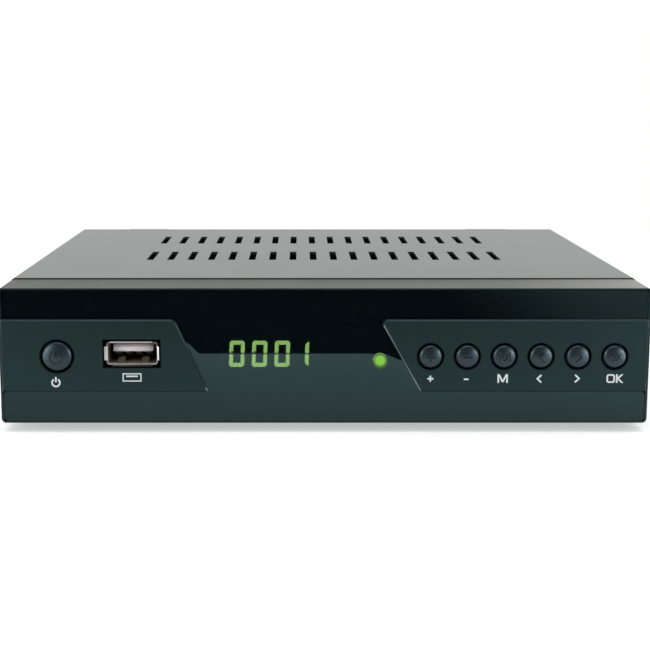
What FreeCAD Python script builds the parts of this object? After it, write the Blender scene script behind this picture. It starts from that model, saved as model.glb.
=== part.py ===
# Free-standing set-top receiver: pressed steel case, moulded front with seven keys, boards and rear sockets.
# Millimetres. X runs to the right, Y from the front to the back, Z up from the surface under the feet.
import FreeCAD, Part
import math
import os
import Sketcher
import types

SIZES = {
    # overall
    "panel_height": 35.65,
    "panel_depth": 14.0,
    "body_depth": 120.0,
    "fit_gap": 0.1,
    "seam_gap": 0.3,
    "slide_gap": 0.3,
    # rubber feet
    "foot_height": 2.5,
    "foot_diameter": 12.0,
    "foot_side_inset": 21.0,
    "foot_end_inset": 20.0,
    "foot_bevel": 0.6,
    # pressed steel case
    "cover_inset": 0.2,
    "cover_step": 0.3,
    "sheet": 0.8,
    "bend_radius": 1.2,
    "cover_drop_gap": 0.4,
    "tray_side_height": 14.0,
    "vent_width": 2.0,
    "vent_length": 16.8,
    "vent_pitch": 6.04,
    "vent_count": 18,
    "vent_shift": 0.7,
    "front_vent_setback": 47.0,
    "rear_vent_setback": 82.8,
    "flank_vent_height": 12.0,
    "flank_vent_lift": 18.0,
    "flank_vent_setback": 44.0,
    "flank_vent_count": 10,
    "floor_vent_length": 22.0,
    "floor_vent_setback": 66.0,
    "floor_vent_count": 14,
    "tab_width": 14.0,
    "tab_height": 8.0,
    "tab_inset": 24.0,
    # screws of the case
    "screw_hole": 3.2,
    "screw_shank": 2.9,
    "screw_head": 5.6,
    "screw_head_height": 1.8,
    "screw_length": 5.0,
    "side_screw_lift": 11.0,
    "side_screw_front": 30.0,
    "side_screw_back": 6.0,
    # moulded front
    "panel_wall": 2.0,
    "panel_rim": 0.8,
    "panel_lip": 0.45,
    "panel_round": 0.35,
    "ledge_depth": 3.0,
    "ledge_wall": 1.4,
    "ledge_root": 3.0,
    "tongue_width": 12.0,
    "tongue_reach": 12.0,
    "tongue_height": 3.0,
    "tongue_inset": 29.0,
    "lens_thickness": 1.5,
    "lens_corner": 1.0,
    "island_rise": 0.5,
    "island_inset": 0.6,
    "island_top": 27.5,
    "island_bottom": 8.55,
    "left_island_corner": 2.2,
    "right_island_corner": 1.3,
    "island_bevel": 0.35,
    "left_island_top_reach": 11.15,
    "left_island_low_reach": 19.7,
    "right_island_top_reach": 13.15,
    "right_island_low_reach": 2.55,
    "boss_diameter": 5.0,
    "boss_inset": 10.0,
    "boss_low": 6.5,
    "boss_high": 28.5,
    # places along the front, each from the one before it, which together give its width
    "power_key_inset": 15.0,
    "usb_spacing": 19.3,
    "display_spacing": 35.5,
    "sensor_spacing": 19.8,
    "led_spacing": 8.9,
    "small_key_spacing": 12.9,
    "small_key_pitch": 9.5,
    "ok_key_inset": 9.1,
    # keys and their switches
    "key_lift": 17.85,
    "key_rise": 0.8,
    "key_dome": 0.55,
    "key_flange": 1.0,
    "key_flange_brim": 1.2,
    "key_post": 3.2,
    "key_bevel": 0.2,
    "power_key_diameter": 7.9,
    "small_key_diameter": 6.0,
    "key_ring_gap": 0.5,
    "switch_width": 6.0,
    "switch_height": 3.5,
    "stem_diameter": 3.2,
    "stem_rise": 0.8,
    "stem_depth": 1.5,
    "key_travel": 0.4,
    # board behind the front
    "board_thickness": 1.6,
    "front_board_setback": 11.1,
    "front_board_inset": 5.0,
    "front_board_height": 26.0,
    "front_board_lift": 4.5,
    "small_screw_head": 4.4,
    "small_screw_shank": 1.8,
    "small_screw_head_height": 1.4,
    "small_screw_length": 5.0,
    # four-digit display
    "display_lift": 18.35,
    "display_width": 25.4,
    "display_height": 10.2,
    "display_thickness": 7.0,
    "driver_spacing": 22.0,
    "display_gap": 0.3,
    "digit_count": 4,
    "digit_pitch": 5.84,
    "digit_width": 4.35,
    "digit_height": 7.0,
    "last_digit_shift": -1.1,
    "segment_width": 0.9,
    "segment_gap": 0.1,
    "segment_shoulder": 0.36,
    "segment_point": 0.54,
    "segment_thickness": 0.3,
    "pin_width": 0.5,
    "pin_pitch": 2.54,
    "pin_count": 6,
    "pin_tail": 1.4,
    # status light and remote-control sensor
    "led_lift": 16.55,
    "led_diameter": 3.0,
    "led_collar": 3.8,
    "led_collar_height": 1.0,
    "led_length": 5.0,
    "sensor_lift": 17.45,
    "sensor_width": 5.0,
    "sensor_height": 6.0,
    "sensor_thickness": 2.6,
    "sensor_dome": 1.2,
    "sensor_dome_width": 4.0,
    "sensor_leg_pitch": 1.8,
    "sensor_leg_drop": 2.2,
    # USB-A socket in the front
    "usb_lift": 18.55,
    "usb_width": 13.1,
    "usb_height": 5.7,
    "usb_sheet": 0.3,
    "usb_corner": 0.7,
    "usb_lip_reach": 0.65,
    "usb_lip_depth": 0.5,
    "usb_lip_cut": 0.9,
    "usb_tongue_width": 10.6,
    "usb_tongue_height": 1.75,
    "usb_tongue_drop": 0.45,
    "usb_tongue_setback": 1.3,
    "usb_base_depth": 2.2,
    "usb_contact_width": 1.0,
    "usb_contact_pitch": 2.3,
    "usb_contact_count": 4,
    "usb_contact_height": 0.4,
    # main board
    "main_board_side_gap": 3.0,
    "main_board_back_gap": 0.5,
    "board_spacing": 20.0,
    "standoff_height": 5.0,
    "standoff_head": 6.0,
    "board_hole_inset": 5.0,
    "board_hole_clearance": 9.1,
    # parts on the main board
    "chip_width": 19.0,
    "chip_height": 1.6,
    "chip_shift": 9.0,
    "chip_setback": 48.0,
    "heatsink_width": 27.0,
    "heatsink_base": 2.0,
    "heatsink_height": 10.0,
    "fin_count": 7,
    "fin_width": 1.2,
    "memory_reach": 28.0,
    "memory_width": 13.0,
    "memory_length": 8.0,
    "memory_height": 1.2,
    "memory_spacing": 14.0,
    "capacitor_diameter": 8.0,
    "capacitor_height": 12.0,
    "capacitor_inset": 15.1,
    "capacitor_setback": 26.0,
    "capacitor_pitch": 11.0,
    "capacitor_count": 4,
    "inductor_width": 8.0,
    "inductor_height": 4.2,
    "inductor_spacing": 16.0,
    "inductor_setback": 32.0,
    "inductor_pitch": 14.0,
    "inductor_count": 3,
    "crystal_length": 11.0,
    "crystal_width": 4.6,
    "crystal_height": 3.6,
    "crystal_round": 1.8,
    "crystal_spacing": 24.0,
    "crystal_setback": 50.0,
    "header_spacing": 32.0,
    "header_width": 24.0,
    "header_depth": 5.0,
    "header_height": 7.0,
    "header_setback": 3.0,
    "ribbon_thickness": 0.8,
    "ribbon_hump": 6.0,
    "ribbon_bend": 1.6,
    # tuner and its two aerial sockets
    "tuner_board_inset": 2.1,
    "tuner_width": 34.0,
    "tuner_length": 30.0,
    "tuner_height": 15.0,
    "tuner_sheet": 0.5,
    "lid_skirt": 3.0,
    "socket_reach": 10.0,
    "aerial_spacing": 17.0,
    "aerial_lift": 9.0,
    "aerial_diameter": 9.52,
    "aerial_bevel": 0.4,
    "aerial_collar": 10.8,
    "aerial_collar_reach": 0.6,
    "aerial_relief": 8.6,
    "aerial_relief_length": 0.8,
    "aerial_bore": 6.6,
    "aerial_clearance": 0.4,
    "aerial_pin_bore": 1.2,
    "aerial_core_drop": 0.8,
    "aerial_contact": 2.4,
    # SCART socket
    "scart_gap": 1.0,
    "scart_width": 48.0,
    "scart_height": 15.0,
    "scart_depth": 16.0,
    "scart_proud": 1.5,
    "scart_mouth_width": 44.4,
    "scart_mouth_height": 10.6,
    "scart_mouth_depth": 10.0,
    "scart_slant": 4.0,
    "scart_slant_height": 2.4,
    "scart_shield_sheet": 0.4,
    "scart_groove": 1.6,
    "scart_core_drop": 0.6,
    "scart_slot_width": 1.1,
    "scart_slot_height": 2.4,
    "scart_slot_depth": 7.5,
    "scart_slot_pitch": 3.81,
    "scart_slot_count": 10,
    "scart_row_spacing": 4.2,
    "scart_blade": 0.4,
    # HDMI socket
    "hdmi_gap": 3.5,
    "hdmi_width": 15.0,
    "hdmi_height": 5.6,
    "hdmi_length": 11.0,
    "hdmi_proud": 0.8,
    "hdmi_sheet": 0.4,
    "hdmi_slant": 1.6,
    "hdmi_tongue_width": 11.2,
    "hdmi_tongue_height": 1.2,
    "hdmi_base_depth": 3.0,
    "hdmi_tongue_setback": 1.2,
    # coaxial audio socket
    "spdif_gap": 6.5,
    "spdif_lift": 6.6,
    "spdif_block": 10.0,
    "spdif_block_depth": 9.0,
    "spdif_collar": 10.0,
    "spdif_collar_reach": 0.8,
    "spdif_diameter": 8.3,
    "spdif_neck": 7.9,
    "spdif_neck_length": 0.8,
    "spdif_wall": 0.4,
    "spdif_reach": 9.0,
    "spdif_bore": 3.3,
    "spdif_bore_depth": 10.0,
    "spdif_core_drop": 0.4,
    # supply socket
    "jack_gap": 16.5,
    "jack_width": 9.0,
    "jack_height": 11.0,
    "jack_depth": 14.0,
    "jack_bore": 6.4,
    "jack_bore_depth": 9.5,
    "jack_pin": 2.0,
    "jack_pin_drop": 0.6,
}

document = FreeCAD.newDocument("set_top_receiver")
sheet = document.addObject("Spreadsheet::Sheet", "Sizes")
for row, (alias, value) in enumerate(SIZES.items(), start=1):
    sheet.set(f"A{row}", alias)
    sheet.set(f"B{row}", str(value))
    sheet.setAlias(f"B{row}", alias)
document.recompute()


class Size:
    """A length in millimetres that also knows the sheet expression it comes from."""

    def __init__(self, number, formula):
        self.number = number
        self.formula = formula

    def __add__(self, other):
        other = as_size(other)
        return Size(self.number + other.number, f"({self.formula} + {other.formula})")

    def __sub__(self, other):
        other = as_size(other)
        return Size(self.number - other.number, f"({self.formula} - {other.formula})")

    def __mul__(self, other):
        other = as_size(other)
        return Size(self.number * other.number, f"({self.formula} * {other.formula})")

    def __truediv__(self, other):
        other = as_size(other)
        return Size(self.number / other.number, f"({self.formula} / {other.formula})")

    def __neg__(self):
        return Size(-self.number, f"(0 - {self.formula})")

    def __radd__(self, other):
        return as_size(other) + self

    def __rsub__(self, other):
        return as_size(other) - self

    def __rmul__(self, other):
        return as_size(other) * self


def as_size(value):
    """Plain numbers become sizes too, so that both can be mixed."""
    if isinstance(value, Size):
        return value
    return Size(float(value), f"({value})")


size = types.SimpleNamespace()
for alias in SIZES:
    setattr(size, alias, Size(float(sheet.get(alias)), f"Sizes.{alias}"))

PLANES = {"X": "YZ_Plane", "Y": "XZ_Plane", "Z": "XY_Plane"}
AXES = {"X": "X_Axis", "Y": "Y_Axis", "Z": "Z_Axis"}


def new_body(name):
    """An empty body; its name is also the name of its file."""
    part = document.addObject("PartDesign::Body", name)
    part.Label = name
    return part


def origin_feature(part, role):
    return next(feature for feature in part.Origin.OriginFeatures if feature.Role == role)


def sketch(part, axis, at, across=0, up=0):
    """A sketch square to an axis, at a place along it, with its own zero moved by across and up."""
    drawing = part.newObject("Sketcher::SketchObject", "sketch")
    drawing.AttachmentSupport = (origin_feature(part, PLANES[axis]), [""])
    drawing.MapMode = "FlatFace"
    at = as_size(at)
    normal = -at if axis == "Y" else at
    drawing.setExpression("AttachmentOffset.Base.x", as_size(across).formula)
    drawing.setExpression("AttachmentOffset.Base.y", as_size(up).formula)
    drawing.setExpression("AttachmentOffset.Base.z", normal.formula)
    drawing.Visibility = False
    return drawing


def fix(drawing, kind, element, point, length):
    """Holds a point of the sketch at a distance from the sketch's zero."""
    length = as_size(length)
    index = drawing.addConstraint(Sketcher.Constraint(kind, -1, 1, element, point, length.number))
    drawing.setExpression(f"Constraints[{index}]", length.formula)


def polygon(drawing, corners):
    """A closed outline of straight lines through the corners."""
    first = drawing.GeometryCount
    count = len(corners)
    points = [FreeCAD.Vector(as_size(a).number, as_size(b).number, 0) for a, b in corners]
    for index in range(count):
        line = Part.LineSegment(points[index], points[(index + 1) % count])
        drawing.addGeometry(line, False)
    for index, (across, up) in enumerate(corners):
        following = first + (index + 1) % count
        drawing.addConstraint(Sketcher.Constraint("Coincident", first + index, 2, following, 1))
        fix(drawing, "DistanceX", first + index, 1, across)
        fix(drawing, "DistanceY", first + index, 1, up)
    return drawing


def rectangle(drawing, left, right, low, high):
    return polygon(drawing, [(left, low), (right, low), (right, high), (left, high)])


def block(drawing, across, up, width, height):
    """A rectangle about its centre."""
    return rectangle(drawing, across - width / 2, across + width / 2, up - height / 2, up + height / 2)


def circle(drawing, across, up, diameter):
    across = as_size(across)
    up = as_size(up)
    radius = as_size(diameter) / 2
    centre = FreeCAD.Vector(across.number, up.number, 0)
    index = drawing.addGeometry(Part.Circle(centre, FreeCAD.Vector(0, 0, 1), radius.number), False)
    held = drawing.addConstraint(Sketcher.Constraint("Radius", index, radius.number))
    drawing.setExpression(f"Constraints[{held}]", radius.formula)
    fix(drawing, "DistanceX", index, 3, across)
    fix(drawing, "DistanceY", index, 3, up)
    return drawing


def pad(part, drawing, length):
    """Solid from the sketch towards the larger coordinate."""
    feature = part.newObject("PartDesign::Pad", "pad")
    feature.Profile = drawing
    feature.setExpression("Length", length.formula)
    feature.Reversed = drawing.AttachmentSupport[0][0].Role == "XZ_Plane"
    return feature


def cut(part, drawing, length):
    """Pocket from the sketch towards the larger coordinate."""
    feature = part.newObject("PartDesign::Pocket", "pocket")
    feature.Profile = drawing
    feature.setExpression("Length", length.formula)
    feature.Reversed = drawing.AttachmentSupport[0][0].Role != "XZ_Plane"
    return feature


def half_section(drawing, points, domed):
    """Half of a turned piece's section, as points along and out from the sketch's level axis.

    A domed one starts with an arc whose centre is on the axis, and the rest is straight."""
    count = len(points)
    corners = [FreeCAD.Vector(as_size(a).number, as_size(b).number, 0) for a, b in points]
    starts = [1] * count
    for index in range(count):
        start = corners[index]
        finish = corners[(index + 1) % count]
        if domed and index == 0:
            rise = finish.x - start.x
            radius = (rise * rise + finish.y * finish.y) / (2 * rise)
            ball = Part.Circle(FreeCAD.Vector(start.x + radius, 0, 0), FreeCAD.Vector(0, 0, 1), radius)
            span = math.atan2(finish.y, radius - rise)
            drawing.addGeometry(Part.ArcOfCircle(ball, math.pi - span, math.pi), False)
            drawing.addConstraint(Sketcher.Constraint("PointOnObject", 0, 3, -1))
            starts[0] = 2
        else:
            drawing.addGeometry(Part.LineSegment(start, finish), False)
    for index, (along, out) in enumerate(points):
        following = (index + 1) % count
        constraint = Sketcher.Constraint("Coincident", index, 3 - starts[index], following, starts[following])
        drawing.addConstraint(constraint)
        fix(drawing, "DistanceX", index, starts[index], along)
        fix(drawing, "DistanceY", index, starts[index], out)
    return drawing


def turned(part, across, up, points, domed=False):
    """Turned piece about a line from front to back; points are (y, radius)."""
    drawing = half_section(sketch(part, "X", across, 0, up), points, domed)
    feature = part.newObject("PartDesign::Revolution", "turned")
    feature.Profile = drawing
    feature.ReferenceAxis = (drawing, ["H_Axis"])
    feature.Angle = 360
    return feature


def repeat(part, feature, axis, pitch, count):
    """Row of copies of a feature at equal steps along an axis."""
    pattern = part.newObject("PartDesign::LinearPattern", "row")
    pattern.Originals = [feature]
    pattern.Direction = (origin_feature(part, AXES[axis]), [""])
    pattern.Mode = "Spacing"
    pattern.setExpression("Offset", pitch.formula)
    pattern.setExpression("Occurrences", as_size(count).formula)
    part.Tip = pattern
    return pattern


SAME = 1e-4     # two places nearer than this are one
NEARBY = 0.5    # and an edge nearer than this to a corner is that corner's, with any gap or margin


def flat_at(edge, axis, place):
    """True if the whole edge lies at one place along an axis."""
    box = edge.BoundBox
    low = getattr(box, f"{axis}Min")
    high = getattr(box, f"{axis}Max")
    return abs(low - place.number) < SAME and abs(high - place.number) < SAME


def runs_along(edge, axis):
    box = edge.BoundBox
    return all(getattr(box, f"{other}Length") < SAME for other in "XYZ" if other != axis)


def soften(part, kind, radius, chosen):
    """Fillet or chamfer on the edges that a test picks out."""
    document.recompute()
    base = part.Tip
    names = [f"Edge{i}" for i, edge in enumerate(base.Shape.Edges, start=1) if chosen(edge)]
    feature = part.newObject(f"PartDesign::{kind}", kind.lower())
    feature.Base = (base, names)
    feature.setExpression("Radius" if kind == "Fillet" else "Size", radius.formula)
    return feature


# Places that several pieces share
floor_z = size.foot_height
top_z = floor_z + size.panel_height
small_key_names = ["plus", "minus", "menu", "left", "right", "ok"]
panel_width = (size.power_key_inset + size.usb_spacing + size.display_spacing + size.sensor_spacing
               + size.led_spacing + size.small_key_spacing
               + size.small_key_pitch * (len(small_key_names) - 1) + size.ok_key_inset)
half_panel = panel_width / 2
power_key_across = size.power_key_inset - half_panel
usb_across = power_key_across + size.usb_spacing
display_across = usb_across + size.display_spacing
sensor_across = display_across + size.sensor_spacing
led_across = sensor_across + size.led_spacing
small_key_across = led_across + size.small_key_spacing
front_reach = size.island_rise + size.key_rise
face_y = -(size.body_depth + size.socket_reach - front_reach) / 2
case_front_y = face_y + size.panel_depth
rear_y = face_y + size.body_depth
wall_inside_y = rear_y - size.sheet
cover_top_z = top_z + size.cover_step
half_cover = half_panel - size.cover_inset
half_tray = half_cover - size.sheet - size.fit_gap
tray_floor_z = floor_z + size.sheet
island_y = face_y - size.island_rise
panel_back_y = face_y + size.lens_thickness + size.panel_wall
board_z = tray_floor_z + size.standoff_height
board_top_z = board_z + size.board_thickness
board_back_y = wall_inside_y - size.main_board_back_gap
half_board = half_tray - size.sheet - size.main_board_side_gap
key_z = floor_z + size.key_lift
front_board_y = face_y + size.front_board_setback
front_board_back_y = front_board_y + size.board_thickness
board_front_y = front_board_back_y + size.board_spacing

keys = [("power", power_key_across, size.power_key_diameter)]
for place, name in enumerate(small_key_names):
    keys.append((name, small_key_across + size.small_key_pitch * place, size.small_key_diameter))

tuner_back_y = wall_inside_y - size.fit_gap
tuner_front_y = tuner_back_y - size.tuner_length
board_holes = []
for across in (half_board - size.board_hole_inset, size.board_hole_inset - half_board):
    board_holes.append((across, board_front_y + size.board_hole_inset))
    board_holes.append((across, tuner_front_y - size.board_hole_clearance))

panel_bosses = []
for across in (size.boss_inset - half_panel, half_panel - size.boss_inset):
    for lift in (size.boss_low, size.boss_high):
        panel_bosses.append((across, floor_z + lift))

display_z = floor_z + size.display_lift
display_pins = []
for up in (size.pin_width * 2 - size.display_height / 2, size.display_height / 2 - size.pin_width * 2):
    for place in range(SIZES["pin_count"]):
        across = display_across + size.pin_pitch * (place - (size.pin_count - 1) / 2)
        display_pins.append((across, display_z + up))
led_z = floor_z + size.led_lift
led_legs = [(led_across + size.pin_pitch * side, led_z) for side in (-0.5, 0.5)]
sensor_z = floor_z + size.sensor_lift
sensor_legs = []
for side in (-1, 0, 1):
    sensor_legs.append((sensor_across + size.sensor_leg_pitch * side, sensor_z - size.sensor_leg_drop))
leg_tip_y = front_board_back_y + size.pin_tail

tongue_places = [size.tongue_inset - half_panel, half_panel - size.tongue_inset]
tongue_y = case_front_y + size.tongue_reach / 2
side_screw_places = [
    case_front_y + size.side_screw_front,
    rear_y - size.side_screw_back,
]
side_screw_z = floor_z + size.side_screw_lift
tab_places = [size.tab_inset - half_panel, half_panel - size.tab_inset]
tab_screw_z = cover_top_z - size.tab_height / 2 - size.sheet / 2

# Rear sockets, from the aerial's at the right end to the supply's
tuner_right = half_board - size.tuner_board_inset
tuner_left = tuner_right - size.tuner_width
tuner_across = (tuner_left + tuner_right) / 2
scart_across = tuner_left - size.scart_gap - size.scart_width / 2
hdmi_across = scart_across - size.scart_width / 2 - size.hdmi_gap - size.hdmi_width / 2
spdif_across = hdmi_across - size.hdmi_width / 2 - size.spdif_gap - size.spdif_block / 2
jack_across = spdif_across - size.spdif_block / 2 - size.jack_gap - size.jack_width / 2
aerial_places = [tuner_across - size.aerial_spacing / 2, tuner_across + size.aerial_spacing / 2]
aerial_z = board_top_z + size.aerial_lift
scart_z = board_top_z + size.scart_height / 2
hdmi_z = board_top_z + size.hdmi_height / 2
spdif_z = board_top_z + size.spdif_lift
jack_z = board_top_z + size.jack_height / 2
chip_across = hdmi_across + size.chip_shift
header_across = chip_across + size.header_spacing


# Pressed steel tray: floor, two low sides and the full rear wall
chassis = new_body("bottom_chassis")
tray_front_y = case_front_y + size.seam_gap
outline = rectangle(sketch(chassis, "Z", floor_z), -half_tray, half_tray, tray_front_y, rear_y)
pad(chassis, outline, size.sheet)
side_front_y = case_front_y + size.ledge_depth + size.seam_gap
sides = sketch(chassis, "Z", floor_z)
rectangle(sides, -half_tray, size.sheet - half_tray, side_front_y, rear_y)
rectangle(sides, half_tray - size.sheet, half_tray, side_front_y, rear_y)
pad(chassis, sides, size.tray_side_height)
wall = rectangle(sketch(chassis, "Z", floor_z), -half_tray, half_tray, wall_inside_y, rear_y)
pad(chassis, wall, cover_top_z - floor_z - size.sheet - size.fit_gap)
long_edge = size.body_depth.number / 2
soften(chassis, "Fillet", size.bend_radius, lambda edge: flat_at(edge, "Z", floor_z)
       and (flat_at(edge, "Y", rear_y) or (runs_along(edge, "Y") and edge.Length > long_edge)))
standoffs = sketch(chassis, "Z", tray_floor_z)
for across, along in board_holes:
    circle(standoffs, across, along, size.standoff_head)
pad(chassis, standoffs, size.standoff_height)
hollows = sketch(chassis, "Z", floor_z)
for across, along in board_holes:
    circle(hollows, across, along, size.standoff_head - size.sheet * 2)
cut(chassis, hollows, size.standoff_height)
threads = sketch(chassis, "Z", floor_z)
for across, along in board_holes:
    circle(threads, across, along, size.screw_shank)
for across in tongue_places:
    circle(threads, across, tongue_y, size.screw_hole)
cut(chassis, threads, size.standoff_height + size.sheet)
side_threads = sketch(chassis, "X", -half_tray)
for along in side_screw_places:
    circle(side_threads, along, side_screw_z, size.screw_shank)
cut(chassis, side_threads, half_tray * 2)
rear_openings = sketch(chassis, "Y", wall_inside_y)
for across in aerial_places:
    circle(rear_openings, across, aerial_z, size.aerial_collar + size.aerial_clearance * 2)
for across in tab_places:
    circle(rear_openings, across, tab_screw_z, size.screw_shank)
block(rear_openings, scart_across, scart_z, size.scart_width + size.fit_gap * 2,
      size.scart_height + size.fit_gap * 2)
block(rear_openings, hdmi_across, hdmi_z, size.hdmi_width + size.fit_gap * 2,
      size.hdmi_height + size.fit_gap * 2)
circle(rear_openings, spdif_across, spdif_z, size.spdif_collar + size.fit_gap * 2)
block(rear_openings, jack_across, jack_z, size.jack_width + size.fit_gap * 2,
      size.jack_height + size.fit_gap * 2)
cut(chassis, rear_openings, size.sheet)
floor_vent_left = -size.vent_pitch * (size.floor_vent_count - 1) / 2
floor_vent = block(sketch(chassis, "Z", floor_z), floor_vent_left, face_y + size.floor_vent_setback,
                   size.vent_width, size.floor_vent_length)
repeat(chassis, cut(chassis, floor_vent, size.sheet), "X", size.vent_pitch, size.floor_vent_count)

# Four rubber feet stuck under the tray, which stand on the table
feet = new_body("rubber_feet")
foot_across = half_tray - size.foot_side_inset
foot_outlines = sketch(feet, "Z", 0)
for across in (-foot_across, foot_across):
    for along in (tray_front_y + size.foot_end_inset, rear_y - size.foot_end_inset):
        circle(foot_outlines, across, along, size.foot_diameter)
pad(feet, foot_outlines, size.foot_height)
soften(feet, "Chamfer", size.foot_bevel, lambda edge: flat_at(edge, "Z", as_size(0)))

# Painted steel cover: one sheet bent down at both sides, with slots over the boards
cover = new_body("top_cover")
cover_y = case_front_y + size.seam_gap
cover_low_z = floor_z + size.cover_drop_gap
inside = half_cover - size.sheet
profile = polygon(sketch(cover, "Y", cover_y), [
    (-half_cover, cover_low_z), (-inside, cover_low_z), (-inside, cover_top_z - size.sheet),
    (inside, cover_top_z - size.sheet), (inside, cover_low_z), (half_cover, cover_low_z),
    (half_cover, cover_top_z), (-half_cover, cover_top_z),
])
pad(cover, profile, rear_y - cover_y)
tabs = sketch(cover, "Y", rear_y)
for across in tab_places:
    rectangle(tabs, across - size.tab_width / 2, across + size.tab_width / 2,
              cover_top_z - size.tab_height, cover_top_z)
pad(cover, tabs, size.sheet)
soften(cover, "Fillet", size.bend_radius,
       lambda edge: flat_at(edge, "Z", cover_top_z) and runs_along(edge, "Y") and edge.Length > long_edge)
tab_holes = sketch(cover, "Y", rear_y)
for across in tab_places:
    circle(tab_holes, across, tab_screw_z, size.screw_hole)
cut(cover, tab_holes, size.sheet)
flank_holes = sketch(cover, "X", -half_cover)
for along in side_screw_places:
    circle(flank_holes, along, side_screw_z, size.screw_hole)
cut(cover, flank_holes, half_cover * 2)
vent_left = size.vent_shift - size.vent_pitch * (size.vent_count - 1) / 2
for setback in (size.front_vent_setback, size.rear_vent_setback):
    vent = sketch(cover, "Z", cover_top_z - size.sheet)
    rectangle(vent, vent_left - size.vent_width / 2, vent_left + size.vent_width / 2,
              face_y + setback, face_y + setback + size.vent_length)
    repeat(cover, cut(cover, vent, size.sheet), "X", size.vent_pitch, size.vent_count)
flank_vent = block(sketch(cover, "X", -half_cover), face_y + size.flank_vent_setback,
                   floor_z + size.flank_vent_lift, size.vent_width, size.flank_vent_height)
repeat(cover, cut(cover, flank_vent, half_cover * 2), "Y", size.vent_pitch, size.flank_vent_count)


# Moulded front: a shallow tray with a recess for the window and two raised islands
left_island_top = usb_across + size.left_island_top_reach
left_island_low = usb_across + size.left_island_low_reach
right_island_top = small_key_across - size.right_island_top_reach
right_island_low = small_key_across - size.right_island_low_reach


def window_outline(drawing, margin):
    """The window is as wide as the front above and below the islands, and narrow between them."""
    end = half_panel - size.panel_rim - margin
    high = top_z - size.panel_lip - margin
    low = floor_z + size.panel_lip + margin
    over = floor_z + size.island_top + margin
    under = floor_z + size.island_bottom - margin
    return polygon(drawing, [
        (-end, high), (end, high), (end, over), (right_island_top - margin, over),
        (right_island_low - margin, under), (end, under), (end, low), (-end, low),
        (-end, under), (left_island_low + margin, under), (left_island_top + margin, over), (-end, over),
    ])


def window_corner(edge):
    """Picks the long edges where the band ends beside the rim, above and below the islands."""
    point = edge.Vertexes[0].Point
    at_end = abs(abs(point.x) - (half_panel - size.panel_rim).number) < NEARBY
    return runs_along(edge, "Y") and at_end


def round_island_corners(part):
    """Rounds the edges where the slanted side of each island meets its top."""
    corners = (
        (left_island_top, size.left_island_corner),
        (right_island_top, size.right_island_corner),
    )
    for tip, radius in corners:
        soften(part, "Fillet", radius, lambda edge: runs_along(edge, "Y")
               and abs(edge.Vertexes[0].Point.x - tip.number) < NEARBY
               and abs(edge.Vertexes[0].Point.z - (floor_z + size.island_top).number) < NEARBY)


panel = new_body("front_panel")
outline = rectangle(sketch(panel, "Y", face_y), -half_panel, half_panel, floor_z, top_z)
pad(panel, outline, size.panel_depth)
soften(panel, "Fillet", size.bend_radius, lambda edge: runs_along(edge, "Y"))
soften(panel, "Fillet", size.panel_round, lambda edge: flat_at(edge, "Y", face_y))
hollow_half = half_panel - size.panel_wall
hollow = rectangle(sketch(panel, "Y", panel_back_y), -hollow_half, hollow_half,
                   floor_z + size.panel_wall, top_z - size.panel_wall)
cut(panel, hollow, case_front_y - panel_back_y)
cut(panel, window_outline(sketch(panel, "Y", face_y), 0), size.lens_thickness)
islands = sketch(panel, "Y", island_y)
island_low_z = floor_z + size.island_bottom
island_high_z = floor_z + size.island_top
polygon(islands, [
    (size.island_inset - half_panel, island_low_z), (left_island_low, island_low_z),
    (left_island_top, island_high_z), (size.island_inset - half_panel, island_high_z),
])
polygon(islands, [
    (right_island_low, island_low_z), (half_panel - size.island_inset, island_low_z),
    (half_panel - size.island_inset, island_high_z), (right_island_top, island_high_z),
])
pad(panel, islands, size.island_rise)
round_island_corners(panel)
soften(panel, "Chamfer", size.island_bevel, lambda edge: flat_at(edge, "Y", island_y))
key_holes = sketch(panel, "Y", island_y)
for name, across, diameter in keys:
    circle(key_holes, across, key_z, diameter + size.key_ring_gap * 2)
cut(panel, key_holes, panel_back_y - island_y)
soften(panel, "Chamfer", size.key_bevel,
       lambda edge: flat_at(edge, "Y", island_y) and edge.Curve.TypeId == "Part::GeomCircle"
       and edge.Closed)
openings = sketch(panel, "Y", island_y)
usb_z = floor_z + size.usb_lift
usb_flare_width = size.usb_width + size.usb_lip_reach * 2
usb_flare_height = size.usb_height + size.usb_lip_reach * 2
block(openings, usb_across, usb_z, usb_flare_width + size.seam_gap * 2, usb_flare_height + size.seam_gap * 2)
block(openings, display_across, display_z, size.display_width + size.display_gap * 2,
      size.display_height + size.display_gap * 2)
circle(openings, led_across, led_z, size.led_diameter + size.display_gap * 2)
block(openings, sensor_across, sensor_z, size.sensor_width, size.sensor_height)
cut(panel, openings, panel_back_y - island_y)
ledge = sketch(panel, "Y", case_front_y - size.ledge_root)
ledge_half = half_cover - size.sheet - size.fit_gap
ledge_high_z = cover_top_z - size.sheet - size.fit_gap
ledge_low_z = floor_z + size.sheet + size.fit_gap
rectangle(ledge, -ledge_half, ledge_half, ledge_low_z, ledge_high_z)
rectangle(ledge, size.ledge_wall - ledge_half, ledge_half - size.ledge_wall,
          ledge_low_z + size.ledge_wall, ledge_high_z - size.ledge_wall)
pad(panel, ledge, size.ledge_root + size.ledge_depth)
tongues = sketch(panel, "Y", case_front_y - size.ledge_root)
for across in tongue_places:
    rectangle(tongues, across - size.tongue_width / 2, across + size.tongue_width / 2,
              ledge_low_z, ledge_low_z + size.tongue_height)
pad(panel, tongues, size.ledge_root + size.tongue_reach)
tongue_holes = sketch(panel, "Z", ledge_low_z)
for across in tongue_places:
    circle(tongue_holes, across, tongue_y, size.screw_shank)
cut(panel, tongue_holes, size.tongue_height)
bosses = sketch(panel, "Y", panel_back_y)
for across, up in panel_bosses:
    circle(bosses, across, up, size.boss_diameter)
pad(panel, bosses, front_board_y - panel_back_y)
boss_holes = sketch(panel, "Y", front_board_y - size.small_screw_length)
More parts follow.
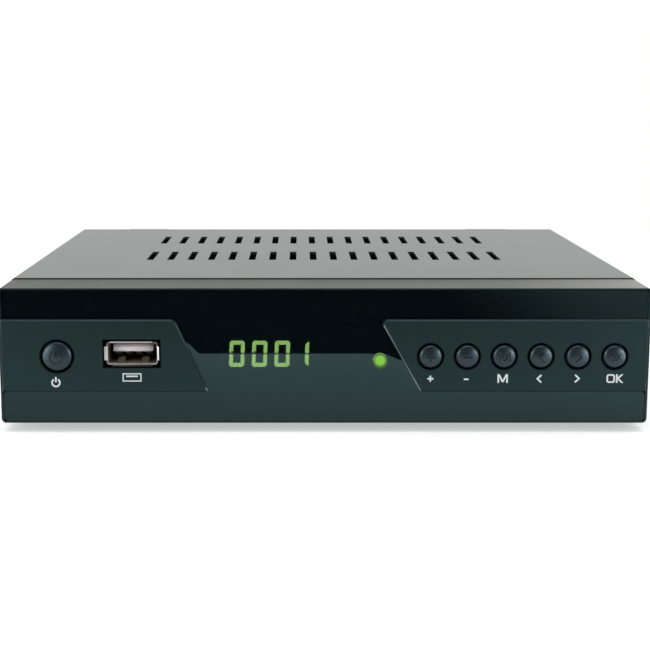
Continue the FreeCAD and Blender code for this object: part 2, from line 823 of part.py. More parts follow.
for across, up in panel_bosses:
    circle(boss_holes, across, up, size.small_screw_shank)
cut(panel, boss_holes, size.small_screw_length)

# Smoked acrylic window, let into the front
lens = new_body("front_lens")
pad(lens, window_outline(sketch(lens, "Y", face_y), size.fit_gap), size.lens_thickness)
round_island_corners(lens)
soften(lens, "Fillet", size.lens_corner, window_corner)

# Keys: a domed cap, a flange that keeps it behind the front, and a post on its switch
switch_front_y = front_board_y - size.switch_height
stem_front_y = switch_front_y - size.stem_rise
key_front_y = island_y - size.key_rise
flange_y = panel_back_y + size.slide_gap


for name, across, diameter in keys:
    radius = diameter / 2
    brim = radius + size.key_flange_brim
    post = size.key_post / 2
    turned(new_body(f"{name}_button"), across, key_z, [
        (key_front_y, 0), (key_front_y + size.key_dome, radius), (flange_y, radius), (flange_y, brim),
        (flange_y + size.key_flange, brim), (flange_y + size.key_flange, post), (stem_front_y, post),
        (stem_front_y, 0),
    ], domed=True)
    stem = new_body(f"{name}_stem")
    stem_outline = circle(sketch(stem, "Y", stem_front_y), across, key_z, size.stem_diameter)
    pad(stem, stem_outline, size.stem_rise + size.stem_depth)

# Housings of the seven push switches, soldered to the front board
switches = new_body("tact_switches")
housings = sketch(switches, "Y", switch_front_y)
for name, across, diameter in keys:
    block(housings, across, key_z, size.switch_width, size.switch_width)
pad(switches, housings, size.switch_height)
wells = sketch(switches, "Y", switch_front_y)
for name, across, diameter in keys:
    circle(wells, across, key_z, size.stem_diameter + size.slide_gap * 2)
cut(switches, wells, size.stem_depth + size.key_travel + size.slide_gap)

# Front board, screwed to four bosses of the front
front_board = new_body("front_board")
front_board_low_z = floor_z + size.front_board_lift
half_front_board = half_panel - size.front_board_inset
outline = rectangle(sketch(front_board, "Y", front_board_y), -half_front_board, half_front_board,
                    front_board_low_z, front_board_low_z + size.front_board_height)
pad(front_board, outline, size.board_thickness)
holes = sketch(front_board, "Y", front_board_y)
for across, up in panel_bosses:
    circle(holes, across, up, size.small_screw_shank)
for across, up in display_pins + led_legs + sensor_legs:
    block(holes, across, up, size.pin_width, size.pin_width)
cut(front_board, holes, size.board_thickness)

front_board_screws = new_body("front_board_screws")
shanks = sketch(front_board_screws, "Y", front_board_back_y - size.small_screw_length)
heads = sketch(front_board_screws, "Y", front_board_back_y)
for across, up in panel_bosses:
    circle(shanks, across, up, size.small_screw_shank)
    circle(heads, across, up, size.small_screw_head)
pad(front_board_screws, shanks, size.small_screw_length)
pad(front_board_screws, heads, size.small_screw_head_height)

# Four-digit display: a block on pins, with a thin lamp for each segment on its face
segment_y = face_y + size.lens_thickness + size.display_gap
display_y = segment_y + size.segment_thickness
display_back_y = display_y + size.display_thickness
display = new_body("display_module")
outline = block(sketch(display, "Y", display_y), display_across, display_z,
                size.display_width, size.display_height)
pad(display, outline, size.display_thickness)
pins = sketch(display, "Y", display_back_y)
for across, up in display_pins:
    block(pins, across, up, size.pin_width, size.pin_width)
pad(display, pins, leg_tip_y - display_back_y)


def segment(name, centre):
    """Outline of one segment of a digit: a and d are level, g is the middle, the others stand."""
    wide = size.digit_width / 2
    tall = size.digit_height / 2
    bar = size.segment_width
    gap = size.segment_gap
    middle = size.segment_shoulder
    point = size.segment_point + gap
    shapes = {
        "a": [(gap - wide, tall), (wide - gap, tall), (wide - bar - gap, tall - bar),
              (bar + gap - wide, tall - bar)],
        "b": [(wide, tall - gap), (wide, middle), (wide - bar, middle), (wide - bar, tall - bar - gap)],
        "g": [(point - wide, as_size(0)), (bar + gap - wide, bar / 2),
              (wide - bar - gap, bar / 2), (wide - point, as_size(0)),
              (wide - bar - gap, -bar / 2), (bar + gap - wide, -bar / 2)],
    }
    mirrors = {"a": ("a", 1, 1), "b": ("b", 1, 1), "c": ("b", 1, -1), "d": ("a", 1, -1),
               "e": ("b", -1, -1), "f": ("b", -1, 1), "g": ("g", 1, 1)}
    shape, flip_across, flip_up = mirrors[name]
    return [(centre + across * flip_across, display_z + up * flip_up) for across, up in shapes[shape]]


first_digit_across = display_across - size.digit_pitch * (size.digit_count - 1) / 2
digit_places = [first_digit_across + size.digit_pitch * place for place in range(SIZES["digit_count"])]
digit_places[-1] = digit_places[-1] + size.last_digit_shift
lit = ["abcdef", "abcdef", "abcdef", "bc"]
for node, wanted in (("lit_segments", True), ("unlit_segments", False)):
    lamps = new_body(node)
    drawing = sketch(lamps, "Y", segment_y)
    for centre, on in zip(digit_places, lit):
        for name in "abcdefg":
            if (name in on) == wanted:
                polygon(drawing, segment(name, centre))
    pad(lamps, drawing, size.segment_thickness)

# Round status light and the remote-control sensor, both on legs
led = new_body("status_led")
led_radius = size.led_diameter / 2
led_back_y = segment_y + size.led_length
turned(led, led_across, led_z, [
    (segment_y, 0), (segment_y + led_radius, led_radius), (led_back_y - size.led_collar_height, led_radius),
    (led_back_y - size.led_collar_height, size.led_collar / 2), (led_back_y, size.led_collar / 2),
    (led_back_y, 0),
], domed=True)
legs = sketch(led, "Y", led_back_y)
for across, up in led_legs:
    block(legs, across, up, size.pin_width, size.pin_width)
pad(led, legs, leg_tip_y - led_back_y)

sensor = new_body("ir_receiver")
sensor_y = panel_back_y + size.slide_gap
turned(sensor, sensor_across, sensor_z, [
    (sensor_y - size.sensor_dome, 0), (sensor_y, size.sensor_dome_width / 2),
    (sensor_y + size.sensor_dome, size.sensor_dome_width / 2), (sensor_y + size.sensor_dome, 0),
], domed=True)
sensor_block_y = sensor_y
outline = block(sketch(sensor, "Y", sensor_block_y), sensor_across, sensor_z,
                size.sensor_width, size.sensor_height)
pad(sensor, outline, size.sensor_thickness)
sensor_back_y = sensor_block_y + size.sensor_thickness
legs = sketch(sensor, "Y", sensor_back_y)
for across, up in sensor_legs:
    block(legs, across, up, size.pin_width, size.pin_width)
pad(sensor, legs, leg_tip_y - sensor_back_y)

# USB-A socket: a tin shell with flared lips, a tongue on its base and four contacts under the tongue
usb_low_z = usb_z - size.usb_height / 2
usb_high_z = usb_z + size.usb_height / 2
usb_left = usb_across - size.usb_width / 2
usb_right = usb_across + size.usb_width / 2
lip_y = island_y + size.usb_lip_depth
shell = new_body("usb_shell")
ring = sketch(shell, "Y", lip_y)
rectangle(ring, usb_left, usb_right, usb_low_z, usb_high_z)
rectangle(ring, usb_left + size.usb_sheet, usb_right - size.usb_sheet,
          usb_low_z + size.usb_sheet, usb_high_z - size.usb_sheet)
pad(shell, ring, front_board_y - lip_y)
for side in (usb_left, usb_right):
    soften(shell, "Fillet", size.usb_corner,
           lambda edge: runs_along(edge, "Y") and abs(edge.Vertexes[0].Point.x - side.number) < SAME)
inside_places = [(usb_left + size.usb_sheet).number, (usb_right - size.usb_sheet).number]
soften(shell, "Fillet", size.usb_corner - size.usb_sheet, lambda edge: runs_along(edge, "Y")
       and any(abs(edge.Vertexes[0].Point.x - place) < SAME for place in inside_places))
reach = size.usb_lip_reach
level_lips = sketch(shell, "X", usb_left + size.usb_lip_cut)
polygon(level_lips, [(lip_y, usb_high_z - size.usb_sheet), (lip_y, usb_high_z),
                     (island_y, usb_high_z + reach), (island_y, usb_high_z + reach - size.usb_sheet)])
polygon(level_lips, [(lip_y, usb_low_z + size.usb_sheet), (lip_y, usb_low_z),
                     (island_y, usb_low_z - reach), (island_y, usb_low_z - reach + size.usb_sheet)])
pad(shell, level_lips, size.usb_width - size.usb_lip_cut * 2)
standing_lips = sketch(shell, "Z", usb_low_z + size.usb_lip_cut)
polygon(standing_lips, [(usb_left + size.usb_sheet, lip_y), (usb_left, lip_y),
                        (usb_left - reach, island_y), (usb_left - reach + size.usb_sheet, island_y)])
polygon(standing_lips, [(usb_right - size.usb_sheet, lip_y), (usb_right, lip_y),
                        (usb_right + reach, island_y), (usb_right + reach - size.usb_sheet, island_y)])
pad(shell, standing_lips, size.usb_height - size.usb_lip_cut * 2)

usb_tongue = new_body("usb_tongue")
tongue_high_z = usb_high_z - size.usb_sheet - size.usb_tongue_drop
usb_tongue_y = island_y + size.usb_tongue_setback
outline = rectangle(sketch(usb_tongue, "Y", usb_tongue_y), usb_across - size.usb_tongue_width / 2,
                    usb_across + size.usb_tongue_width / 2, tongue_high_z - size.usb_tongue_height,
                    tongue_high_z)
pad(usb_tongue, outline, front_board_y - usb_tongue_y)
outline = rectangle(sketch(usb_tongue, "Y", front_board_y - size.usb_base_depth),
                    usb_left + size.usb_sheet, usb_right - size.usb_sheet,
                    usb_low_z + size.usb_sheet, usb_high_z - size.usb_sheet)
pad(usb_tongue, outline, size.usb_base_depth)
soften(usb_tongue, "Fillet", size.usb_corner - size.usb_sheet, lambda edge: runs_along(edge, "Y")
       and abs(edge.Length - size.usb_base_depth.number) < SAME
       and any(abs(edge.Vertexes[0].Point.x - place) < SAME for place in inside_places))

usb_contacts = new_body("usb_contacts")
contact_y = usb_tongue_y + size.usb_sheet
first_contact_across = usb_across - size.usb_contact_pitch * (size.usb_contact_count - 1) / 2
contact = block(sketch(usb_contacts, "Y", contact_y), first_contact_across,
                tongue_high_z - size.usb_tongue_height - size.usb_contact_height / 2,
                size.usb_contact_width, size.usb_contact_height)
strip = pad(usb_contacts, contact, front_board_y - size.usb_base_depth - contact_y)
repeat(usb_contacts, strip, "X", size.usb_contact_pitch, size.usb_contact_count)

# Display driver and the ribbon's socket, on the back of the front board
driver = new_body("display_driver")
outline = block(sketch(driver, "Y", front_board_back_y), header_across + size.driver_spacing,
                display_z, size.memory_width, size.memory_length)
pad(driver, outline, size.memory_height)

header_low_z = board_top_z + size.ribbon_bend
front_header = new_body("front_board_header")
outline = rectangle(sketch(front_header, "Y", front_board_back_y), header_across - size.header_width / 2,
                    header_across + size.header_width / 2, header_low_z,
                    header_low_z + size.header_depth)
pad(front_header, outline, size.header_depth)

# Main board on the tray's four standoffs
main_board = new_body("main_board")
outline = rectangle(sketch(main_board, "Z", board_z), -half_board, half_board, board_front_y, board_back_y)
pad(main_board, outline, size.board_thickness)
holes = sketch(main_board, "Z", board_z)
for across, along in board_holes:
    circle(holes, across, along, size.screw_hole)
cut(main_board, holes, size.board_thickness)

board_screws = new_body("board_screws")
shank_low_z = board_top_z - size.screw_length
shanks = sketch(board_screws, "Z", shank_low_z)
heads = sketch(board_screws, "Z", board_top_z)
for across, along in board_holes:
    circle(shanks, across, along, size.screw_shank)
    circle(heads, across, along, size.screw_head)
pad(board_screws, shanks, size.screw_length)
pad(board_screws, heads, size.screw_head_height)

main_header = new_body("main_board_header")
main_header_y = board_front_y + size.header_setback
outline = rectangle(sketch(main_header, "Z", board_top_z), header_across - size.header_width / 2,
                    header_across + size.header_width / 2, main_header_y,
                    main_header_y + size.header_depth)
pad(main_header, outline, size.header_height)

# Flat ribbon between the two boards, with a hump of spare length
ribbon = new_body("board_ribbon")
ribbon_start_y = front_board_back_y + size.header_depth
ribbon_front_z = header_low_z + size.header_depth / 2
ribbon_back_z = board_top_z + size.header_height / 2
ribbon_middle_y = (ribbon_start_y + main_header_y) / 2
hump_z = (ribbon_front_z + ribbon_back_z) / 2 + size.ribbon_hump
ribbon_path = [
    (ribbon_start_y, ribbon_front_z), (ribbon_start_y + size.ribbon_bend, ribbon_front_z),
    (ribbon_middle_y, hump_z), (main_header_y - size.ribbon_bend, ribbon_back_z),
    (main_header_y, ribbon_back_z),
]
under = [(along, up - size.ribbon_thickness / 2) for along, up in ribbon_path]
over = [(along, up + size.ribbon_thickness / 2) for along, up in reversed(ribbon_path)]
ribbon_width = size.header_width - size.pin_pitch
section = polygon(sketch(ribbon, "X", header_across - ribbon_width / 2), under + over)
pad(ribbon, section, ribbon_width)
soften(ribbon, "Fillet", size.ribbon_bend, lambda edge: runs_along(edge, "X")
       and abs(edge.Vertexes[0].Point.y - ribbon_middle_y.number) < SAME)

# Main chip with its heat sink, and two memory chips beside it
chip = new_body("main_chip")
chip_y = board_back_y - size.chip_setback
outline = block(sketch(chip, "Z", board_top_z), chip_across, chip_y, size.chip_width, size.chip_width)
pad(chip, outline, size.chip_height)
heatsink = new_body("chip_heatsink")
sink_z = board_top_z + size.chip_height
outline = block(sketch(heatsink, "Z", sink_z), chip_across, chip_y, size.heatsink_width,
                size.heatsink_width)
pad(heatsink, outline, size.heatsink_base)
fin_step = (size.heatsink_width - size.fin_width) / (size.fin_count - 1)
fin = block(sketch(heatsink, "Z", sink_z), chip_across - (size.heatsink_width - size.fin_width) / 2,
            chip_y, size.fin_width, size.heatsink_width)
repeat(heatsink, pad(heatsink, fin, size.heatsink_height), "X", fin_step, size.fin_count)

memory = new_body("memory_chips")
outlines = sketch(memory, "Z", board_top_z)
for side in (-0.5, 0.5):
    block(outlines, chip_across + size.memory_reach, chip_y + size.memory_spacing * side, size.memory_width,
          size.memory_length)
pad(memory, outlines, size.memory_height)

# Supply parts: capacitors behind the supply socket, shielded coils, and the clock's crystal can
capacitors = new_body("electrolytic_capacitors")
capacitor_across = size.capacitor_inset - half_board
can = circle(sketch(capacitors, "Z", board_top_z), capacitor_across,
             board_back_y - size.capacitor_setback - size.capacitor_pitch * (size.capacitor_count - 1),
             size.capacitor_diameter)
repeat(capacitors, pad(capacitors, can, size.capacitor_height), "Y", size.capacitor_pitch,
       size.capacitor_count)

inductors = new_body("power_inductors")
coil = block(sketch(inductors, "Z", board_top_z), capacitor_across + size.inductor_spacing,
             board_back_y - size.inductor_setback - size.inductor_pitch * (size.inductor_count - 1),
             size.inductor_width, size.inductor_width)
repeat(inductors, pad(inductors, coil, size.inductor_height), "Y", size.inductor_pitch,
       size.inductor_count)

crystal = new_body("crystal")
outline = block(sketch(crystal, "Z", board_top_z), chip_across - size.crystal_spacing,
                board_back_y - size.crystal_setback, size.crystal_length, size.crystal_width)
pad(crystal, outline, size.crystal_height)
soften(crystal, "Fillet", size.crystal_round, lambda edge: runs_along(edge, "Z"))

# Tuner: an open tin box on the board and its lid with a short skirt
tuner_high_z = board_top_z + size.tuner_height
tuner = new_body("tuner_can")
outline = rectangle(sketch(tuner, "Z", board_top_z), tuner_left, tuner_right, tuner_front_y, tuner_back_y)
pad(tuner, outline, size.tuner_height)
hollow = rectangle(sketch(tuner, "Z", board_top_z + size.tuner_sheet), tuner_left + size.tuner_sheet,
                   tuner_right - size.tuner_sheet, tuner_front_y + size.tuner_sheet,
                   tuner_back_y - size.tuner_sheet)
cut(tuner, hollow, size.tuner_height)
bores = sketch(tuner, "Y", tuner_back_y - size.tuner_sheet)
for across in aerial_places:
    circle(bores, across, aerial_z, size.aerial_bore)
cut(tuner, bores, size.tuner_sheet)

lid = new_body("tuner_lid")
outline = rectangle(sketch(lid, "Z", tuner_high_z), tuner_left, tuner_right, tuner_front_y, tuner_back_y)
pad(lid, outline, size.tuner_sheet)
inset = size.tuner_sheet + size.fit_gap
skirt = sketch(lid, "Z", tuner_high_z - size.lid_skirt)
rectangle(skirt, tuner_left + inset, tuner_right - inset, tuner_front_y + inset, tuner_back_y - inset)
rectangle(skirt, tuner_left + inset + size.tuner_sheet, tuner_right - inset - size.tuner_sheet,
          tuner_front_y + inset + size.tuner_sheet, tuner_back_y - inset - size.tuner_sheet)
pad(lid, skirt, size.lid_skirt)

# Aerial sockets: barrels on the tuner, each with a collar in the rear wall, a thread relief, the length
# that is threaded, an insulator and a sprung contact tube
aerial_tip_y = rear_y + size.socket_reach
contact_tip_y = aerial_tip_y - size.aerial_core_drop
aerial_collar_y = rear_y + size.aerial_collar_reach
aerial_thread_y = aerial_collar_y + size.aerial_relief_length
barrel = size.aerial_diameter / 2
bore = size.aerial_bore / 2
insulators = new_body("f_insulators")
contacts = new_body("f_contacts")
for name, across in zip(("lnb_out", "lnb_in"), aerial_places):
    turned(new_body(f"{name}_connector"), across, aerial_z, [
        (tuner_back_y, bore), (tuner_back_y, size.aerial_collar / 2),
        (aerial_collar_y, size.aerial_collar / 2), (aerial_collar_y, size.aerial_relief / 2),
        (aerial_thread_y, size.aerial_relief / 2), (aerial_thread_y, barrel),
        (aerial_tip_y - size.aerial_bevel, barrel), (aerial_tip_y, barrel - size.aerial_bevel),
        (aerial_tip_y, bore),
    ])
    turned(insulators, across, aerial_z, [
        (tuner_back_y, size.aerial_contact / 2), (tuner_back_y, bore),
        (contact_tip_y, bore), (contact_tip_y, size.aerial_contact / 2),
    ])
    turned(contacts, across, aerial_z, [
        (tuner_back_y, size.aerial_pin_bore / 2), (tuner_back_y, size.aerial_contact / 2),
        (contact_tip_y, size.aerial_contact / 2), (contact_tip_y, size.aerial_pin_bore / 2),
    ])


# SCART socket: a plastic housing whose slotted core stands inside a metal liner with one slanted end
def scart_outline(drawing, margin):
    wide = size.scart_mouth_width / 2 - margin
    high = size.scart_mouth_height / 2 - margin
    return polygon(drawing, [
        (scart_across - wide, scart_z - high), (scart_across + wide - size.scart_slant, scart_z - high),
        (scart_across + wide, scart_z - high + size.scart_slant_height),
        (scart_across + wide, scart_z + high), (scart_across - wide, scart_z + high),
    ])


scart_tip_y = rear_y + size.scart_proud
scart_floor_y = scart_tip_y - size.scart_mouth_depth
scart = new_body("scart_body")
outline = block(sketch(scart, "Y", wall_inside_y - size.scart_depth), scart_across, scart_z,
                size.scart_width, size.scart_height)
pad(scart, outline, scart_tip_y - wall_inside_y + size.scart_depth)
cut(scart, scart_outline(sketch(scart, "Y", scart_floor_y), 0), size.scart_mouth_depth)
core_tip_y = scart_tip_y - size.scart_core_drop
pad(scart, scart_outline(sketch(scart, "Y", scart_floor_y), size.scart_groove), core_tip_y - scart_floor_y)
slot_floor_y = core_tip_y - size.scart_slot_depth
shield = new_body("scart_shield")
ring = sketch(shield, "Y", scart_floor_y)
scart_outline(ring, 0)
scart_outline(ring, size.scart_shield_sheet)
pad(shield, ring, size.scart_mouth_depth)
blades = new_body("scart_contacts")
for row in (-0.5, 0.5):
    left = scart_across - size.scart_slot_pitch * (size.scart_slot_count - 1 - row) / 2
    up = scart_z + size.scart_row_spacing * row
    slot = block(sketch(scart, "Y", slot_floor_y), left, up, size.scart_slot_width, size.scart_slot_height)
    repeat(scart, cut(scart, slot, size.scart_slot_depth), "X", size.scart_slot_pitch, size.scart_slot_count)
    blade = rectangle(sketch(blades, "Y", slot_floor_y), left - size.scart_slot_width / 2,
                      left - size.scart_slot_width / 2 + size.scart_blade, up - size.scart_slot_height / 2,
                      up + size.scart_slot_height / 2)
    repeat(blades, pad(blades, blade, size.scart_slot_depth - size.scart_core_drop), "X",
           size.scart_slot_pitch, size.scart_slot_count)


# HDMI socket: a bent tin shell with two slanted lower corners, and its tongue
def hdmi_outline(drawing, margin):
    wide = size.hdmi_width / 2 - margin
    high = size.hdmi_height / 2 - margin
    slant = size.hdmi_slant
    return polygon(drawing, [
        (hdmi_across - wide + slant, hdmi_z - high), (hdmi_across + wide - slant, hdmi_z - high),
        (hdmi_across + wide, hdmi_z - high + slant), (hdmi_across + wide, hdmi_z + high),
        (hdmi_across - wide, hdmi_z + high), (hdmi_across - wide, hdmi_z - high + slant),
    ])


hdmi_tip_y = rear_y + size.hdmi_proud
hdmi_back_y = hdmi_tip_y - size.hdmi_length
hdmi = new_body("hdmi_shell")
ring = sketch(hdmi, "Y", hdmi_back_y)
hdmi_outline(ring, 0)
hdmi_outline(ring, size.hdmi_sheet)
pad(hdmi, ring, size.hdmi_length)
hdmi_tongue = new_body("hdmi_tongue")
pad(hdmi_tongue, hdmi_outline(sketch(hdmi_tongue, "Y", hdmi_back_y), size.hdmi_sheet), size.hdmi_base_depth)
outline = block(sketch(hdmi_tongue, "Y", hdmi_back_y), hdmi_across, hdmi_z + size.hdmi_tongue_height / 2,
                size.hdmi_tongue_width, size.hdmi_tongue_height)
pad(hdmi_tongue, outline, size.hdmi_length - size.hdmi_tongue_setback)

# Coaxial audio socket: a plastic block behind the wall with a collar through it, a core with a bore,
# and a metal barrel round the core that is necked where it is pressed on the collar
spdif_tip_y = rear_y + size.spdif_reach
spdif_collar_y = rear_y + size.spdif_collar_reach
spdif_barrel_y = spdif_collar_y + size.spdif_neck_length
core = new_body("spdif_core")
outline = block(sketch(core, "Y", wall_inside_y - size.fit_gap - size.spdif_block_depth), spdif_across,
                spdif_z, size.spdif_block, size.spdif_lift * 2)
pad(core, outline, size.spdif_block_depth)
outline = circle(sketch(core, "Y", wall_inside_y - size.fit_gap), spdif_across, spdif_z, size.spdif_collar)
pad(core, outline, spdif_collar_y - wall_inside_y + size.fit_gap)
core_diameter = size.spdif_diameter - size.spdif_wall * 2
outline = circle(sketch(core, "Y", wall_inside_y - size.fit_gap), spdif_across, spdif_z, core_diameter)
pad(core, outline, spdif_tip_y - size.spdif_core_drop - wall_inside_y + size.fit_gap)
bore_y = spdif_tip_y - size.spdif_core_drop - size.spdif_bore_depth
cut(core, circle(sketch(core, "Y", bore_y), spdif_across, spdif_z, size.spdif_bore),
    size.spdif_bore_depth)
turned(new_body("spdif_barrel"), spdif_across, spdif_z, [
    (spdif_collar_y, core_diameter / 2), (spdif_collar_y, size.spdif_neck / 2),
    (spdif_barrel_y, size.spdif_neck / 2), (spdif_barrel_y, size.spdif_diameter / 2),
    (spdif_tip_y, size.spdif_diameter / 2), (spdif_tip_y, core_diameter / 2),
])

# Supply socket: a plastic block with a bore, flush with the rear wall, and its centre pin
jack = new_body("dc_jack_body")
outline = block(sketch(jack, "Y", rear_y - size.jack_depth), jack_across, jack_z,
                size.jack_width, size.jack_height)
pad(jack, outline, size.jack_depth)
jack_bore_y = rear_y - size.jack_bore_depth
cut(jack, circle(sketch(jack, "Y", jack_bore_y), jack_across, jack_z, size.jack_bore),
    size.jack_bore_depth)
jack_pin = new_body("dc_jack_pin")
outline = circle(sketch(jack_pin, "Y", jack_bore_y), jack_across, jack_z, size.jack_pin)
pad(jack_pin, outline, size.jack_bore_depth - size.jack_pin_drop)

# Screws of the case: four through the flanks, two through the rear tabs, two from below into the front
cover_screws = new_body("cover_screws")
side_heads = sketch(cover_screws, "X", half_cover)
side_shanks = sketch(cover_screws, "X", half_cover - size.screw_length)
for along in side_screw_places:
    circle(side_heads, along, side_screw_z, size.screw_head)
    circle(side_shanks, along, side_screw_z, size.screw_shank)
pad(cover_screws, side_heads, size.screw_head_height)
pad(cover_screws, side_shanks, size.screw_length)
other_heads = sketch(cover_screws, "X", -half_cover - size.screw_head_height)
other_shanks = sketch(cover_screws, "X", -half_cover)
for along in side_screw_places:
    circle(other_heads, along, side_screw_z, size.screw_head)
    circle(other_shanks, along, side_screw_z, size.screw_shank)
pad(cover_screws, other_heads, size.screw_head_height)
pad(cover_screws, other_shanks, size.screw_length)
tab_face_y = rear_y + size.sheet
rear_heads = sketch(cover_screws, "Y", tab_face_y)
rear_shanks = sketch(cover_screws, "Y", tab_face_y - size.screw_length)
for across in tab_places:
    circle(rear_heads, across, tab_screw_z, size.screw_head)
    circle(rear_shanks, across, tab_screw_z, size.screw_shank)
pad(cover_screws, rear_heads, size.screw_head_height)
pad(cover_screws, rear_shanks, size.screw_length)

panel_screws = new_body("panel_screws")
heads = sketch(panel_screws, "Z", floor_z - size.screw_head_height)
shanks = sketch(panel_screws, "Z", floor_z)
for across in tongue_places:
    circle(heads, across, tongue_y, size.screw_head)
    circle(shanks, across, tongue_y, size.screw_shank)
pad(panel_screws, heads, size.screw_head_height)
pad(panel_screws, shanks, size.sheet + size.fit_gap + size.tongue_height)

# Build everything, look for failed features and empty pockets, and write one file for each piece
document.recompute()
for thing in document.Objects:
    if "Invalid" in thing.State or "Error" in thing.State:
        raise RuntimeError(f"{thing.Name} ({thing.Label}) failed: {thing.State}")
    if thing.TypeId == "PartDesign::Pocket":
        removed = thing.BaseFeature.Shape.Volume - thing.Shape.Volume
        if removed < 1e-3:
            raise RuntimeError(f"{thing.Name} cuts nothing")
parts = [thing for thing in document.Objects if thing.TypeId == "PartDesign::Body"]
for part in parts:
    if part.Shape.isNull() or not part.Shape.isValid():
        raise RuntimeError(f"{part.Label} has no valid shape")
os.makedirs("parts", exist_ok=True)
for part in parts:
    part.Shape.exportStep(f"parts/{part.Label}.step")
print(f"{len(parts)} pieces, {sum(len(part.Shape.Solids) for part in parts)} solids")
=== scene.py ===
# Set-top satellite receiver, dressed for rendering. Metres, +Z up, the front faces -Y.
import math

import bpy
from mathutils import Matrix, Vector


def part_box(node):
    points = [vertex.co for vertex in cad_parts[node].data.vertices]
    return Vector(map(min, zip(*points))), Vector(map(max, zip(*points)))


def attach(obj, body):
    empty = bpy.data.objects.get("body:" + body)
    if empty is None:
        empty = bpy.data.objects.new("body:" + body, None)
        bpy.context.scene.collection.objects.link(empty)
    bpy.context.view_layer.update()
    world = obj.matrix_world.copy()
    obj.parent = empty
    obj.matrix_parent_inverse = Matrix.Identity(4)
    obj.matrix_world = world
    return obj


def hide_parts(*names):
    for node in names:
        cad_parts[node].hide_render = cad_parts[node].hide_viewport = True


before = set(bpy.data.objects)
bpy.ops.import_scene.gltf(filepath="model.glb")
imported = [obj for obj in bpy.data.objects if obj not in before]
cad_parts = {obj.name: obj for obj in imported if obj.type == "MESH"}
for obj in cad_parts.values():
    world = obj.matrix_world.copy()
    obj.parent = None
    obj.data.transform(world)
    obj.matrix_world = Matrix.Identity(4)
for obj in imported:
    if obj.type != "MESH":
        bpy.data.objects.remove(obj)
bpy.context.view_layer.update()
MM = 0.001

# ---- Camera
# It stands a little to the left of the middle and a forearm's length away, and looks slightly down
# on the front, with a shift that keeps the receiver in the middle of the frame.
CAMERA_LEFT = 6.45 * MM
CAMERA_AWAY = 297.8 * MM
CAMERA_UP = 87.79 * MM
CAMERA_TILT = 8.56   # degrees below level
panel_low, panel_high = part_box("front_panel")
lens_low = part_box("front_lens")[0]
camera_data = bpy.data.cameras.new("camera")
camera_data.lens = 65.4
camera_data.shift_x = 0.0394
camera_data.shift_y = -0.1
camera_data.clip_start = 0.01
camera = bpy.data.objects.new("camera", camera_data)
camera.location = (-CAMERA_LEFT, lens_low.y - CAMERA_AWAY, panel_low.z + CAMERA_UP)
camera.rotation_euler = (math.radians(90 - CAMERA_TILT), 0, 0)
bpy.context.collection.objects.link(camera)
bpy.context.scene.camera = camera


# ---- Stage
# A white floor and surrounding, a dark room and a pale table top in front that only reflections show,
# a soft lamp above and one at the left, and two at the sides that show only in what small parts mirror.
def linear(code):
    """The linear colour of an sRGB hex code, as a shader's socket takes it."""
    channels = [int(code[place:place + 2], 16) / 255 for place in (1, 3, 5)]
    return [c / 12.92 if c <= 0.04045 else ((c + 0.055) / 1.055) ** 2.4 for c in channels] + [1.0]


def first_output(node):
    """The output that a node gives first, past those that its settings switch off."""
    return next(output for output in node.outputs if output.enabled)


def add_node(tree, kind, inputs=None, **settings):
    """Adds a node with its settings; each input takes a value, an output or a node's first output."""
    node = tree.nodes.new("ShaderNode" + kind)
    for name, value in settings.items():
        setattr(node, name, value)
    for socket, value in (inputs or {}).items():
        if isinstance(value, bpy.types.Node):
            value = first_output(value)
        if isinstance(value, bpy.types.NodeSocket):
            tree.links.new(value, node.inputs[socket])
        else:
            node.inputs[socket].default_value = value
    return node


def feed(node, **sources):
    """Leads the first output of other nodes to this node's sockets of these names."""
    for socket, source in sources.items():
        node.id_data.links.new(first_output(source), node.inputs[socket.replace("_", " ")])


def new_material(name, **sockets):
    """A material whose surface starts from these values on the shader's own sockets."""
    material = bpy.data.materials.new(name)
    material.use_nodes = True
    shader = material.node_tree.nodes["Principled BSDF"]
    for socket, value in sockets.items():
        shader.inputs[socket.replace("_", " ")].default_value = value
    return material, material.node_tree, shader


def object_axes(tree):
    """The X, Y and Z of a point on a piece, for the nodes of its material."""
    place = add_node(tree, "TexCoord").outputs["Object"]
    return add_node(tree, "SeparateXYZ", {"Vector": place}).outputs


FLOOR_SIZE = 6.0
FLOOR_LIFT = 0.42     # light that only the camera sees, so that the lit floor reads as plain white
SHADOW_REACH = 0.16   # past this far from the middle the floor fades into the white behind it
DARK_ROOM = 0.04
SOFT_LIGHT = 0.55
world = bpy.data.worlds.new("studio")
world.use_nodes = True
bpy.context.scene.world = world
tree = world.node_tree
tree.nodes.clear()
path = add_node(tree, "LightPath")
direction = add_node(tree, "TexCoord").outputs["Generated"]
axes = add_node(tree, "SeparateXYZ", {"Vector": direction}).outputs
behind = add_node(tree, "MapRange", {
    "Value": axes["Y"], "From Min": -0.5, "From Max": 0.0, "To Min": DARK_ROOM, "To Max": 1.0,
})
mirrored = add_node(tree, "Math", {
    0: path.outputs["Is Glossy Ray"], 1: path.outputs["Is Transmission Ray"],
}, operation="MAXIMUM")
unlit = add_node(tree, "Mix", {"Factor": mirrored, "A": SOFT_LIGHT, "B": behind})
strength = add_node(tree, "Mix", {"Factor": path.outputs["Is Camera Ray"], "A": unlit, "B": 1.0})
sky = add_node(tree, "Background", {"Color": (1, 1, 1, 1), "Strength": strength})
add_node(tree, "OutputWorld", {"Surface": sky})


def floor_plane(name, width, front, back, height):
    """A level plane between two places along Y."""
    bpy.ops.object.select_all(action="DESELECT")
    bpy.ops.mesh.primitive_plane_add(size=1, location=(0, (front + back) / 2, height))
    plane = bpy.context.object
    plane.name = name
    plane.scale = (width, back - front, 1)
    bpy.ops.object.transform_apply(location=True, scale=True)
    return plane


